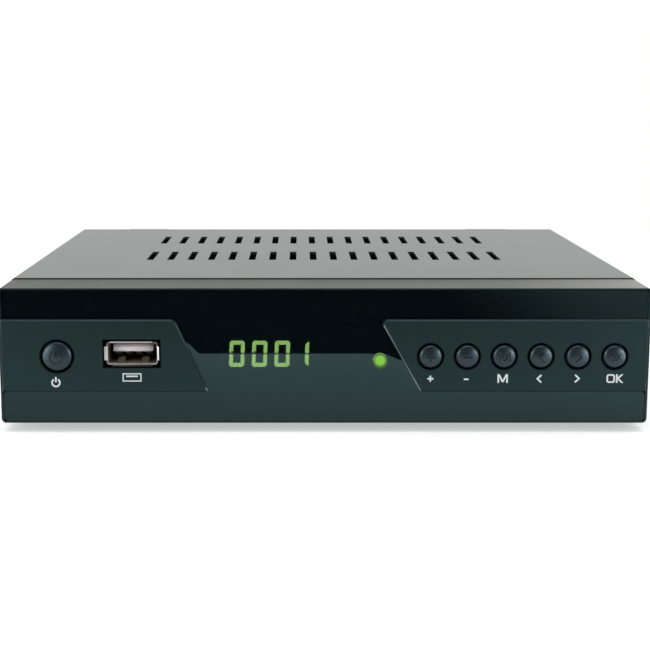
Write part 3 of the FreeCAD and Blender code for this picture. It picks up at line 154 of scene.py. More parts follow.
floor = floor_plane("floor", FLOOR_SIZE, -FLOOR_SIZE / 2, FLOOR_SIZE / 2, 0)
material, tree, shader = new_material("white floor", Base_Color=linear("#f4f4f4"), Roughness=0.9)
path = add_node(tree, "LightPath")
lift = add_node(tree, "Math", {0: path.outputs["Is Camera Ray"], 1: FLOOR_LIFT}, operation="MULTIPLY")
glow = add_node(tree, "Emission", {"Color": (1, 1, 1, 1), "Strength": lift})
lifted = add_node(tree, "AddShader", {0: shader, 1: glow})
place = add_node(tree, "TexCoord").outputs["Object"]
away = add_node(tree, "VectorMath", {0: place}, operation="LENGTH")
far = add_node(tree, "MapRange", {
    "Value": away, "From Min": SHADOW_REACH, "From Max": 2 * SHADOW_REACH,
}, interpolation_type="SMOOTHSTEP")
fade = add_node(tree, "Math", {0: far, 1: path.outputs["Is Camera Ray"]}, operation="MULTIPLY")
white = add_node(tree, "Emission", {"Color": (1, 1, 1, 1)})
faded = add_node(tree, "MixShader", {0: fade, 1: lifted, 2: white})
feed(tree.nodes["Material Output"], Surface=faded)
floor.data.materials.append(material)


RIGHT_RISE = (55 * MM, 150 * MM)   # where a card gets lighter towards its right side
ENDS_RISE = (100 * MM, 160 * MM)   # and towards both of its ends


def reflected_card(name, front, back, light_front, light_back, light_right=0.0, light_ends=0.0):
    """A card on the floor that only reflections see, shaded from front to back and to its sides."""
    card = floor_plane(name, FLOOR_SIZE / 2, front, back, 0.4 * MM)
    material, tree, shader = new_material(name)
    axes = object_axes(tree)
    light = add_node(tree, "MapRange", {
        "Value": axes["Y"], "From Min": front, "From Max": back,
        "To Min": light_front, "To Max": light_back,
    })
    sideways = add_node(tree, "MapRange", {
        "Value": axes["X"], "From Min": RIGHT_RISE[0], "From Max": RIGHT_RISE[1],
        "To Max": light_right,
    }, interpolation_type="SMOOTHSTEP")
    to_right = add_node(tree, "Math", {0: light, 1: sideways})
    either_way = add_node(tree, "Math", {0: axes["X"]}, operation="ABSOLUTE")
    ends = add_node(tree, "MapRange", {
        "Value": either_way, "From Min": ENDS_RISE[0], "From Max": ENDS_RISE[1], "To Max": light_ends,
    }, interpolation_type="SMOOTHSTEP")
    total = add_node(tree, "Math", {0: to_right, 1: ends})
    glow = add_node(tree, "Emission", {"Color": (1, 1, 1, 1), "Strength": total})
    feed(tree.nodes["Material Output"], Surface=glow)
    card.data.materials.append(material)
    card.visible_camera = False
    card.visible_diffuse = False
    card.visible_shadow = False
    card.visible_transmission = False


TABLE_DEPTH = 88.6 * MM
TABLE_UNDER = 60 * MM
ROOM_DEPTH = 2.9
table_edge = lens_low.y - TABLE_DEPTH
reflected_card("pale table", table_edge, lens_low.y, 1.2, 0.7, 0.4, 3.0)
reflected_card("pale table below", lens_low.y, lens_low.y + TABLE_UNDER, 0.7, 0.7)
reflected_card("dark room", table_edge - ROOM_DEPTH, table_edge, 0.0, 0.0, 0.45)

small_parts = bpy.data.collections.new("all but the case")
for number, name in enumerate(("top_cover", "bottom_chassis", "front_panel", "front_lens")):
    small_parts.objects.link(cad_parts[name])
    small_parts.collection_objects[number].light_linking.link_state = "EXCLUDE"


def lamp(name, place, size, power, only_mirrored=False):
    """A soft square lamp that looks at the receiver, or only shows in what its small parts mirror."""
    data = bpy.data.lights.new(name, "AREA")
    data.shape = "SQUARE"
    data.size = size
    data.energy = power
    light = bpy.data.objects.new(name, data)
    light.location = place
    light.rotation_euler = Vector(place).to_track_quat("Z", "Y").to_euler()
    light.visible_diffuse = not only_mirrored
    if only_mirrored:
        light.light_linking.receiver_collection = small_parts
    bpy.context.collection.objects.link(light)


lamp("overhead", (0.0, -0.1, 1.4), 1.2, 9.0)
lamp("left fill", (-1.0, -0.85, 0.55), 0.6, 2.5)
lamp("left softbox", (-1.05, -0.8, 0.14), 0.6, 7.3, only_mirrored=True)
lamp("right softbox", (1.05, -0.8, 0.14), 0.6, 11.5, only_mirrored=True)


# ---- Cover and tray
# Two sheets of steel, 0.8 mm thick, pressed to shape and coated with black polyester powder. Baked,
# it flows out into a faint orange peel that is nearly matt from above and shines at low angles.
def dress(material, *nodes):
    """Puts a material on CAD nodes."""
    for name in nodes:
        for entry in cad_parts[name].material_slots:
            entry.material = material


SHINE_PATCH = 15 * MM


def textured(name, code, pit, depth, roughness, uneven=0.04, **sockets):
    """A finish with fine pits of one size and depth, whose shine differs a little from place to place."""
    material, tree, shader = new_material(name, Base_Color=linear(code), **sockets)
    place = add_node(tree, "TexCoord").outputs["Object"]
    pits = add_node(tree, "TexNoise", {"Vector": place, "Scale": 1 / pit, "Detail": 2.0})
    bump = add_node(tree, "Bump", {"Height": pits, "Distance": depth})
    patches = add_node(tree, "TexNoise", {"Vector": place, "Scale": 1 / SHINE_PATCH})
    shine = add_node(tree, "MapRange", {
        "Value": patches, "From Min": 0.3, "From Max": 0.7,
        "To Min": roughness - uneven, "To Max": roughness + uneven,
    })
    feed(shader, Normal=bump, Roughness=shine)
    return material


dress(textured("black powder coat", "#39463f", 0.9 * MM, 0.004 * MM, 0.3, uneven=0.006, IOR=1.6),
      "top_cover", "bottom_chassis")


# ---- Case screws
# Steel screws with pan heads, cross recessed and blackened by oxide under oil: six hold the cover,
# two hold the front's tongues from below. Zinc plated ones of the same kind hold the boards.
def select_only(piece):
    bpy.ops.object.select_all(action="DESELECT")
    piece.select_set(True)
    bpy.context.view_layer.objects.active = piece


def turned(name, profile, segments=48):
    """A closed solid about the Z axis, drawn ring by ring from its first (height, radius) to its last."""
    height, radius = profile[0]
    bpy.ops.object.select_all(action="DESELECT")
    bpy.ops.mesh.primitive_circle_add(vertices=segments, radius=radius, fill_type="NGON",
                                      location=(0, 0, height))
    piece = bpy.context.object
    piece.name = name
    bpy.ops.object.transform_apply(location=True)
    bpy.ops.object.mode_set(mode="EDIT")
    bpy.ops.mesh.select_all(action="SELECT")
    for next_height, next_radius in profile[1:]:
        bpy.ops.mesh.extrude_region_move(TRANSFORM_OT_translate={"value": (0, 0, next_height - height)})
        share = next_radius / radius
        bpy.ops.transform.resize(value=(share, share, 1), center_override=(0, 0, next_height))
        height, radius = next_height, next_radius
    bpy.ops.mesh.select_all(action="SELECT")
    bpy.ops.mesh.normals_make_consistent(inside=False)
    bpy.ops.object.mode_set(mode="OBJECT")
    bpy.ops.object.shade_smooth_by_angle(angle=math.radians(35))
    return piece


def carved(piece, cutter):
    """Takes a cutter's shape out of a piece and removes the cutter."""
    select_only(piece)
    modifier = piece.modifiers.new("carve", "BOOLEAN")
    modifier.operation = "DIFFERENCE"
    modifier.solver = "EXACT"
    modifier.object = cutter
    bpy.ops.object.modifier_apply(modifier=modifier.name)
    bpy.data.objects.remove(cutter)
    return piece


def copies(piece, places):
    """Joins copies of a piece, each moved and turned, into one piece of the same name."""
    name = piece.name
    made = []
    for location, rotation in places:
        copy = bpy.data.objects.new(name, piece.data.copy())
        copy.location = location
        copy.rotation_euler = rotation
        bpy.context.collection.objects.link(copy)
        made.append(copy)
    bpy.data.objects.remove(piece)
    bpy.ops.object.select_all(action="DESELECT")
    for copy in made:
        copy.select_set(True)
    bpy.context.view_layer.objects.active = made[0]
    if len(made) > 1:
        bpy.ops.object.join()
    bpy.ops.object.transform_apply(location=True, rotation=True)
    made[0].name = name
    return made[0]


def fit(piece, material, slot, *nodes, body="case"):
    """Gives a finished piece its material and its body, and has it stand for CAD nodes."""
    piece.data.materials.clear()
    piece.data.materials.append(material)
    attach(piece, body)
    if nodes:
        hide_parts(*nodes)


def screw(name, head, shank, head_height, length):
    """A screw that stands on Z = 0 with its head up."""
    piece = turned(name, [
        (-length, shank * 0.6), (-length + shank * 0.4, shank), (0, shank), (0, head),
        (head_height * 0.45, head), (head_height * 0.75, head * 0.9), (head_height * 0.93, head * 0.7),
        (head_height, head * 0.4),
    ], segments=28)
    bpy.ops.object.select_all(action="DESELECT")
    bpy.ops.mesh.primitive_cube_add(size=1, location=(0, 0, head_height))
    slot = bpy.context.object
    slot.scale = (head * 1.15, head * 0.22, head_height * 1.1)
    other = slot.copy()
    other.data = slot.data.copy()
    other.scale = (head * 0.22, head * 1.15, head_height * 1.1)
    bpy.context.collection.objects.link(other)
    carved(piece, slot)
    return carved(piece, other)


def turn(index):
    """Screws stop at any angle: each is turned by another part of a circle."""
    return math.radians(37 * index)


def corners(low, high, inset):
    """The four corners of an upright or level rectangle, drawn in by an inset."""
    return [(across, other) for across in (low[0] + inset, high[0] - inset)
            for other in (low[1] + inset, high[1] - inset)]


black_oxide = textured("black oxide steel", "#1b1b1c", 0.3 * MM, 0.003 * MM, 0.33, Metallic=0.6)
zinc_plate = textured("zinc plated steel", "#b9bab2", 0.4 * MM, 0.003 * MM, 0.28, Metallic=1.0)
HEAD, SMALL_HEAD = 2.8 * MM, 2.2 * MM
SHANK, SMALL_SHANK = 1.45 * MM, 0.9 * MM
HEAD_HEIGHT, SMALL_HEIGHT = 1.8 * MM, 1.4 * MM
LENGTH, TONGUE_SCREW_LENGTH = 5 * MM, 3.8 * MM
SIDE_SCREW_SPACING = 70 * MM
REAR_SCREW_SPACING = 120 * MM
low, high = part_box("cover_screws")
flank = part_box("top_cover")[1].x
front_y = low.y + HEAD
side_spots = [(side, y) for side in (-1, 1) for y in (front_y, front_y + SIDE_SCREW_SPACING)]
places = []
for index, (side, y) in enumerate(side_spots):
    turned_out = (math.radians(90), turn(index), math.radians(90 * side))
    places.append(((side * flank, y, low.z + HEAD), turned_out))
for side in (-1, 1):
    place = (side * REAR_SCREW_SPACING / 2, high.y - HEAD_HEIGHT, high.z - HEAD)
    places.append((place, (math.radians(-90), turn(len(places)), 0)))
case_screw = screw("case_screws", HEAD, SHANK, HEAD_HEIGHT, LENGTH)
fit(copies(case_screw, places), black_oxide, "black_screw", "cover_screws")
low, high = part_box("panel_screws")
places = []
for index, across in enumerate((low.x + HEAD, high.x - HEAD)):
    place = (across, (low.y + high.y) / 2, low.z + HEAD_HEIGHT)
    places.append((place, (math.radians(180), 0, turn(index))))
tongue_screw = screw("tongue_screws", HEAD, SHANK, HEAD_HEIGHT, TONGUE_SCREW_LENGTH)
fit(copies(tongue_screw, places), black_oxide, "black_screw", "panel_screws")
low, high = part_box("board_screws")
places = []
for index, (x, y) in enumerate(corners(low.xy, high.xy, HEAD)):
    places.append(((x, y, high.z - HEAD_HEIGHT), (0, 0, turn(index))))
board_screw = screw("main_board_screws", HEAD, SHANK, HEAD_HEIGHT, LENGTH)
fit(copies(board_screw, places), zinc_plate, "zinc_screw", "board_screws")
low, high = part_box("front_board_screws")
places = []
for index, (x, z) in enumerate(corners(low.xz, high.xz, SMALL_HEAD)):
    places.append(((x, high.y - SMALL_HEIGHT, z), (math.radians(-90), turn(index), 0)))
small_screw = screw("small_board_screws", SMALL_HEAD, SMALL_SHANK, SMALL_HEIGHT, LENGTH)
fit(copies(small_screw, places), zinc_plate, "zinc_screw", "front_board_screws")

# ---- Rubber feet
# Four moulded rubber pads stuck to the tray. Rubber scatters light, so they look matt and a little
# dusty, with a rounded edge and a shallow dish in the middle of the sole.
low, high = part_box("rubber_feet")
FOOT = 6 * MM
places = [((x, y, 0), (0, 0, 0)) for x, y in corners(low.xy, high.xy, FOOT)]
pad = turned("foot_pads", [
    (0.35 * MM, 2.4 * MM), (0.35 * MM, 3.0 * MM), (0, 3.5 * MM), (0, 5.3 * MM), (0.18 * MM, 5.68 * MM),
    (0.6 * MM, FOOT), (high.z - 0.3 * MM, FOOT), (high.z, FOOT - 0.2 * MM),
])
rubber = textured("moulded black rubber", "#191919", 0.35 * MM, 0.012 * MM, 0.75, IOR=1.52)
fit(copies(pad, places), rubber, "foot_rubber", "rubber_feet")

# ---- Moulded front
# Black ABS from a mould with a spark-eroded skin, so it is satin: dark, with a soft even sheen. The
# slanted ends of its islands carry painted highlights, the right of its ledge is painted pale as
# painted light, and round the key holes the skin is left coarser and given painted shade.
def slanted_end(tree, normal, axes, faces, middle, reach):
    """1 on an island's end that faces this way, within a reach of a place along X, and 0 elsewhere."""
    faces = Vector(faces).normalized()
    along = add_node(tree, "VectorMath", {0: normal, 1: faces}, operation="DOT_PRODUCT")
    faced = add_node(tree, "Math", {0: along, 1: SAME_WAY}, operation="GREATER_THAN")
    near = add_node(tree, "Math", {0: axes["X"], 1: middle, 2: reach}, operation="COMPARE")
    return add_node(tree, "Math", {0: faced, 1: near}, operation="MULTIPLY")


ABS = "#182425"
SAME_WAY = 0.97     # the least cosine between a face and the way that it is said to face
PANEL_DEPTH = 14 * MM
SINK = 0.06         # how far the level tops lean, because thick plastic sinks as it cools
SINK_RIGHT = 0.1    # what the right end adds to it, and the left one
SINK_LEFT = 0.03
ISLAND_MIDDLE = 21 * MM
LEDGE_LIGHT_FROM = 20 * MM                            # where painted light starts on the ledge, to the right
HOLES_FROM = 26.5 * MM                         # from the middle, to both sides
HOLE_ROW, HOLE_REACH = 20.5 * MM, 7.5 * MM
COARSER = 0.25                                 # roughness that is added round the holes
material = textured("satin black ABS", ABS, 0.5 * MM, 0.003 * MM, 0.42, uneven=0.02, IOR=1.53,
                    Specular_Tint=(0.45, 0.8, 0.78, 1.0))
tree = material.node_tree
normal = add_node(tree, "NewGeometry").outputs["Normal"]
axes = object_axes(tree)
facing = add_node(tree, "SeparateXYZ", {"Vector": normal}).outputs
level = add_node(tree, "Math", {0: facing["Z"], 1: 0.9}, operation="GREATER_THAN")
lean = add_node(tree, "MapRange", {
    "Value": axes["Y"], "From Min": lens_low.y, "From Max": lens_low.y + PANEL_DEPTH,
    "To Min": SINK / 2, "To Max": -SINK,
})
to_right = add_node(tree, "MapRange", {
    "Value": axes["X"], "From Min": 0.0, "From Max": panel_high.x,
    "To Min": -0.012, "To Max": SINK_RIGHT,
}, interpolation_type="SMOOTHSTEP")
to_left = add_node(tree, "MapRange", {
    "Value": axes["X"], "From Min": 0.0, "From Max": panel_low.x, "To Max": SINK_LEFT,
})
ends_lean = add_node(tree, "Math", {0: to_right, 1: to_left})
whole_lean = add_node(tree, "Math", {0: lean, 1: ends_lean})
top_lean = add_node(tree, "Math", {0: whole_lean, 1: level}, operation="MULTIPLY")
offset = add_node(tree, "CombineXYZ", {"Y": top_lean})
leaning = add_node(tree, "VectorMath", {0: normal, 1: offset})
sunken = add_node(tree, "VectorMath", {0: leaning}, operation="NORMALIZE")
feed(tree.nodes["Bump"], Normal=sunken)

# Painted highlights: the slanted ends of the islands take a pale colour, for the light they catch.
right_end = slanted_end(tree, normal, axes, (-0.625, -0.707, -0.33), 19.5 * MM, 6 * MM)
from_middle = add_node(tree, "Math", {0: axes["Z"], 1: ISLAND_MIDDLE}, operation="SUBTRACT")
either_way = add_node(tree, "Math", {0: from_middle}, operation="ABSOLUTE")
highlight_share = add_node(tree, "MapRange", {
    "Value": either_way, "From Min": 1 * MM, "From Max": 7 * MM, "To Min": 0.4, "To Max": 1.0,
})
right_shine = add_node(tree, "Math", {0: right_end, 1: highlight_share}, operation="MULTIPLY")
left_end = slanted_end(tree, normal, axes, (0.644, -0.707, 0.29), -34 * MM, 7 * MM)
upper_part = add_node(tree, "MapRange", {
    "Value": axes["Z"], "From Min": ISLAND_MIDDLE, "From Max": 23.5 * MM, "To Max": 0.2,
})
lower_part = add_node(tree, "Math", {0: axes["Z"], 1: 12.1 * MM}, operation="LESS_THAN")
highlight_share = add_node(tree, "Math", {0: upper_part, 1: lower_part}, operation="MAXIMUM")
left_shine = add_node(tree, "Math", {0: left_end, 1: highlight_share}, operation="MULTIPLY")
shine = add_node(tree, "Math", {0: right_shine, 1: left_shine})

# Painted light: level faces take their own colour, painted pale towards the right end of the ledge.
to_ledge_light = add_node(tree, "MapRange", {
    "Value": axes["X"], "From Min": LEDGE_LIGHT_FROM, "From Max": panel_high.x,
})
ledge_light = add_node(tree, "Math", {0: to_ledge_light, 1: 2.5}, operation="POWER")
ledge_colour = add_node(tree, "Mix", {
    "Factor": ledge_light, "A": linear("#281f17"), "B": linear("#87857f"),
}, data_type="RGBA")
with_ledge = add_node(tree, "Mix", {
    "Factor": level, "A": linear(ABS), "B": ledge_colour,
}, data_type="RGBA")
# The painted highlight colour on the islands' slanted ends.
with_shine = add_node(tree, "Mix", {
    "Factor": shine, "A": with_ledge, "B": linear("#808c8e"),
}, data_type="RGBA")
# Painted shade round the key holes: faces off the flat front take a darker colour and more roughness.
flat_front = add_node(tree, "Math", {0: facing["Y"], 1: -0.95}, operation="LESS_THAN")
across = add_node(tree, "Math", {0: axes["X"]}, operation="ABSOLUTE")
past_middle = add_node(tree, "Math", {0: across, 1: HOLES_FROM}, operation="GREATER_THAN")
row = add_node(tree, "Math", {0: axes["Z"], 1: HOLE_ROW, 2: HOLE_REACH}, operation="COMPARE")
in_row = add_node(tree, "Math", {0: row, 1: past_middle}, operation="MULTIPLY")
not_hole = add_node(tree, "Math", {0: flat_front, 1: left_end})
hole_edge = add_node(tree, "Math", {0: in_row, 1: not_hole}, operation="SUBTRACT", use_clamp=True)
hole_shaded = add_node(tree, "Mix", {
    "Factor": hole_edge, "A": with_shine, "B": linear("#182224"),
}, data_type="RGBA")
satin = tree.nodes["Map Range"]
roughened = add_node(tree, "Math", {0: hole_edge, 1: COARSER, 2: satin}, operation="MULTIPLY_ADD")
feed(tree.nodes["Principled BSDF"], Base_Color=hole_shaded, Roughness=roughened)
dress(material, "front_panel")


# ---- Window
# One piece of smoked polycarbonate, polished, nearly opaque, which lets only the display and the
# status light through. Next to the islands it is drawn in a little as it cools, and bends reflections.
# Round the status light the window itself glows green, a painted glow.
def box_middle(node):
    """The middle of a CAD node's box."""
    low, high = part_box(node)
    return (low + high) / 2


def beside_end(tree, axes, top_corner, low_corner, side):
    """How far a point lies beside an island's slanted end, measured along X to one side."""
    (x, z), (low_x, low_z) = top_corner, low_corner
    slope = (x - low_x) / (z - low_z)
    line = add_node(tree, "Math", {
        0: axes["Z"], 1: slope, 2: low_x - slope * low_z,
    }, operation="MULTIPLY_ADD")
    gap = add_node(tree, "Math", {0: axes["X"], 1: line}, operation="SUBTRACT")
    return add_node(tree, "Math", {0: gap, 1: side}, operation="MULTIPLY")


def from_status_light(tree, axes):
    """How far a point lies from the status light, seen from the front."""
    sideways = add_node(tree, "Math", {0: axes["X"], 1: light_centre.x}, operation="SUBTRACT")
    upwards = add_node(tree, "Math", {0: axes["Z"], 1: light_centre.z}, operation="SUBTRACT")
    both = add_node(tree, "CombineXYZ", {"X": sideways, "Z": upwards})
    return add_node(tree, "VectorMath", {0: both}, operation="LENGTH")


ISLAND_TOP = panel_low.z + 27.5 * MM
ISLAND_LOW = panel_low.z + 8.55 * MM
LEFT_TOP, LEFT_LOW = -38.55 * MM, -30.0 * MM
RIGHT_TOP, RIGHT_LOW = 14.25 * MM, 24.85 * MM
LIGHT_DROP = 0.15 * MM
GLOW, GLOW_INSIDE, GLOW_OUTSIDE = 0.24, 1.0 * MM, 2.3 * MM   # a painted glow on the window round the status light
light_centre = box_middle("status_led") - Vector((0, 0, LIGHT_DROP))
material, tree, shader = new_material(
    "polished smoked polycarbonate", Base_Color=linear("#081114"), Specular_Tint=(0.6, 1.0, 1.0, 1.0),
    Emission_Color=linear("#86cc22"), Roughness=0.02, IOR=1.585, Alpha=0.9)
normal = add_node(tree, "NewGeometry").outputs["Normal"]
axes = object_axes(tree)
left_gap = beside_end(tree, axes, (LEFT_TOP, ISLAND_TOP), (LEFT_LOW, ISLAND_LOW), 1.0)
right_gap = beside_end(tree, axes, (RIGHT_TOP, ISLAND_TOP), (RIGHT_LOW, ISLAND_LOW), -1.0)
left_lean = add_node(tree, "MapRange", {
    "Value": left_gap, "From Min": 0.3 * MM, "From Max": 2.4 * MM, "To Min": -0.02, "To Max": 0.0,
}, interpolation_type="SMOOTHSTEP")
right_lean = add_node(tree, "MapRange", {
    "Value": right_gap, "From Min": 0.0, "From Max": 4.5 * MM, "To Min": 0.012, "To Max": 0.0,
}, interpolation_type="SMOOTHSTEP")
left_side = add_node(tree, "Math", {0: axes["X"], 1: 0.0}, operation="LESS_THAN")
lean = add_node(tree, "Mix", {"Factor": left_side, "A": right_lean, "B": left_lean})
offset = add_node(tree, "CombineXYZ", {"Z": lean})
leaning = add_node(tree, "VectorMath", {0: normal, 1: offset})
drawn_in = add_node(tree, "VectorMath", {0: leaning}, operation="NORMALIZE")
# Painted glow: the window emits green light round the status light, though it is no lamp.
painted_glow = add_node(tree, "MapRange", {
    "Value": from_status_light(tree, axes), "From Min": GLOW_INSIDE, "From Max": GLOW_OUTSIDE,
    "To Min": GLOW, "To Max": 0.0,
}, interpolation_type="SMOOTHSTEP")
feed(shader, Normal=drawn_in, Emission_Strength=painted_glow)
dress(material, "front_lens")


# ---- Printed marks
# White ink, screen printed on the islands under the keys and the USB socket and on the rear wall
# over the sockets: a film a few hundredths of a millimetre thick with crisp edges.
def stroke(points, width, closed=False):
    """The outline of a line of one width through these points, with mitred corners."""
    left, right = [], []
    for index, point in enumerate(points):
        point = Vector(point)
        first = index == 0 and not closed
        last = index == len(points) - 1 and not closed
        after = Vector(points[(index + 1) % len(points)]) - point if not last else None
        before = point - Vector(points[index - 1]) if not first else after
        after = before if last else after
        run_in, run_out = before.normalized(), after.normalized()
        along = (run_in + run_out).normalized()
        side = Vector((-along.y, along.x))
        reach = width / 2 / side.dot(Vector((-run_out.y, run_out.x)))
        left.append(point + side * reach)
        right.append(point - side * reach)
    return [left, right] if closed else [left + right[::-1]]


def arc(radius, start, end, steps, centre=(0, 0)):
    """Points along a circle, with the angles in degrees."""
    angles = [math.radians(start + (end - start) * step / steps) for step in range(steps + 1)]
    return [(centre[0] + radius * math.cos(a), centre[1] + radius * math.sin(a)) for a in angles]


def rounded_box(left, right, low, high, radius, steps=5):
    """The outline of a box with rounded corners, in the units of its sizes."""
    outline = []
    for start, x, z in [(0, right - radius, high - radius), (90, left + radius, high - radius),
                        (180, left + radius, low + radius), (270, right - radius, low + radius)]:
        outline += arc(radius, start, start + 90, steps, (x, z))
    return outline


def moved(outlines, across, up, share=1.0):
    return [[(x * share + across, y * share + up) for x, y in outline] for outline in outlines]


def flat(name, outlines, thickness):
    """A flat solid on Z = 0 from closed outlines in millimetres; one inside another is a hole."""
    data = bpy.data.curves.new(name, "CURVE")
    data.dimensions = "2D"
    data.fill_mode = "BOTH"
    data.extrude = thickness / 2
    for outline in outlines:
        spline = data.splines.new("POLY")
        spline.points.add(len(outline) - 1)
        for point, (across, up) in zip(spline.points, outline):
            point.co = (across * MM, up * MM, 0, 1)
        spline.use_cyclic_u = True
    piece = bpy.data.objects.new(name, data)
    bpy.context.collection.objects.link(piece)
    select_only(piece)
    bpy.ops.object.convert(target="MESH")
    piece = bpy.context.object
    bpy.ops.object.mode_set(mode="EDIT")
    bpy.ops.mesh.select_all(action="SELECT")
    bpy.ops.mesh.remove_doubles(threshold=0.001 * MM)
    bpy.ops.mesh.normals_make_consistent(inside=False)
    bpy.ops.object.mode_set(mode="OBJECT")
    return piece


def stood(piece, place, facing="front"):
    """Stands a flat piece up at a place, so that it faces the front, the rear or a side."""
    heading = {"front": 0, "rear": 180, "side": 90}[facing]
    piece.location = place
    piece.rotation_euler = (math.radians(90), 0, math.radians(heading))
    select_only(piece)
    bpy.ops.object.transform_apply(location=True, rotation=True)
    return piece


def signs(line):
    """The seven keys' signs in millimetres about their own middles, drawn with one width of line."""
    half = line / 2
    letter_m = [(-1.36, -1.16), (-1.36, 1.16), (-0.78, 1.16), (0, -0.4), (0.78, 1.16), (1.36, 1.16),
                (1.36, -1.16), (0.9, -1.16), (0.9, 0.42), (0.2, -1.0), (-0.2, -1.0), (-0.9, 0.42),
                (-0.9, -1.16)]
    letter_o = rounded_box(-0.89, 0.89, -0.94, 0.94, 0.42, 4)
    letter_k = [(-0.92, -1.15), (-0.92, 1.15), (-0.47, 1.15), (-0.47, 0.28), (0.42, 1.15), (1.0, 1.15),
                (-0.1, 0.05), (1.05, -1.15), (0.45, -1.15), (-0.4, -0.24), (-0.47, -0.3), (-0.47, -1.15)]
    return {
        "power": stroke(arc(1.0, 122, 418, 28), line) + stroke([(0, 0.1), (0, 1.5)], line),
        "plus": [[(-half, 0.8), (half, 0.8), (half, half), (0.8, half), (0.8, -half), (half, -half),
                  (half, -0.8), (-half, -0.8), (-half, -half), (-0.8, -half), (-0.8, half),
                  (-half, half)]],
        "minus": [[(-0.62, half), (0.62, half), (0.62, -half), (-0.62, -half)]],
        "menu": [letter_m],
        "left": stroke([(0.55, 1.0), (-0.5, 0), (0.55, -1.0)], line),
        "right": stroke([(-0.55, 1.0), (0.5, 0), (-0.55, -1.0)], line),
        "ok": moved(stroke(letter_o, line, closed=True), -1.12, 0) + moved([letter_k], 1.15, 0),
    }


def print_mark(name, outlines, place, facing="front"):
    fit(stood(flat(name, outlines, INK), place, facing), ink, "white_plastic")


INK = 0.04 * MM
REAR_MARK_RISE = 3.2 * MM
FRONT_LINE, THIN_LINE = 0.43, 0.3    # sizes of the marks without MM are in millimetres
KEY_MARK_DROP, POWER_MARK_DROP, PORT_MARK_DROP = 5.8, 6.85, 6.2
# Each mark sits a little off its key's middle, as the screen was laid: to the right, and lower.
MARKS = {"power": (-0.42, 0.05), "plus": (0.0, 0.05), "minus": (-0.22, 0.2), "menu": (-0.3, 0.0),
         "left": (-0.34, 0.05), "right": (-0.08, 0.0), "ok": (0.24, 0.0)}
PORT = [(-2.3, -0.95), (2.3, -0.95), (2.3, 0.95), (-2.3, 0.95)]
port_sign = stroke(PORT, THIN_LINE, closed=True) + [[(-1.5, 0.1), (1.5, 0.1), (1.5, 0.5), (-1.5, 0.5)]]
arrow_in = [[(-0.9, -0.4), (-0.25, -0.4), (-0.25, 1.5), (0.25, 1.5), (0.25, -0.4), (0.9, -0.4),
             (0, -1.5)]]
arrow_out = [[(x, -z) for x, z in arrow_in[0]]]
coaxial = stroke(arc(1.15, 0, 345, 23), THIN_LINE, closed=True) + [arc(0.4, 0, 330, 11)]
polarity = coaxial + moved(signs(THIN_LINE)["plus"], 3.6, 0, 0.75)
for start, end in ((-2.6, -1.3), (1.3, 2.6), (-4.1, -3.1)):
    polarity += stroke([(start, 0), (end, 0)], THIN_LINE)
ink = textured("white screen ink", "#e1ebec", 0.2 * MM, 0.004 * MM, 0.5)
printed = signs(FRONT_LINE)
for key, (shift, lower) in MARKS.items():
    middle = box_middle(f"{key}_button")
    drop = POWER_MARK_DROP if key == "power" else KEY_MARK_DROP
    place = (middle.x + shift * MM, panel_low.y, middle.z - (drop + lower) * MM)
    print_mark(f"{key}_mark", printed[key], place)
middle = box_middle("usb_shell")
print_mark("port_mark", port_sign, (middle.x, panel_low.y, middle.z - PORT_MARK_DROP * MM))
rear_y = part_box("bottom_chassis")[1].y
for name, socket, outlines in [("aerial_in_mark", "lnb_in_connector", arrow_in),
                               ("aerial_out_mark", "lnb_out_connector", arrow_out),
                               ("audio_mark", "spdif_core", coaxial),
                               ("supply_mark", "dc_jack_body", polarity)]:
    place = (box_middle(socket).x, rear_y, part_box(socket)[1].z + REAR_MARK_RISE)
    print_mark(name, outlines, place, facing="rear")

# ---- Keys
# Each key is one moulding of black ABS: a domed satin cap with its sign sunk in the face, a brim
# that keeps it behind the front, and a post that bears on its push switch.
BRIM = 1.2 * MM
BRIM_THICKNESS = 1.0 * MM
POST = 1.6 * MM
POST_LENGTH = 2.0 * MM
POWER_EDGE, KEY_EDGE = 1.15 * MM, 0.95 * MM
SIGN_LINE = 0.27         # millimetres
SIGN_DEPTH = 0.3 * MM
SIGN_LOWER = 0.06 * MM   # from the crown down to where the depth is counted from
DOME_SLOPE = 20          # degrees at the edge of the dome
DOME_STEPS = 8
EDGE_STEPS = 9
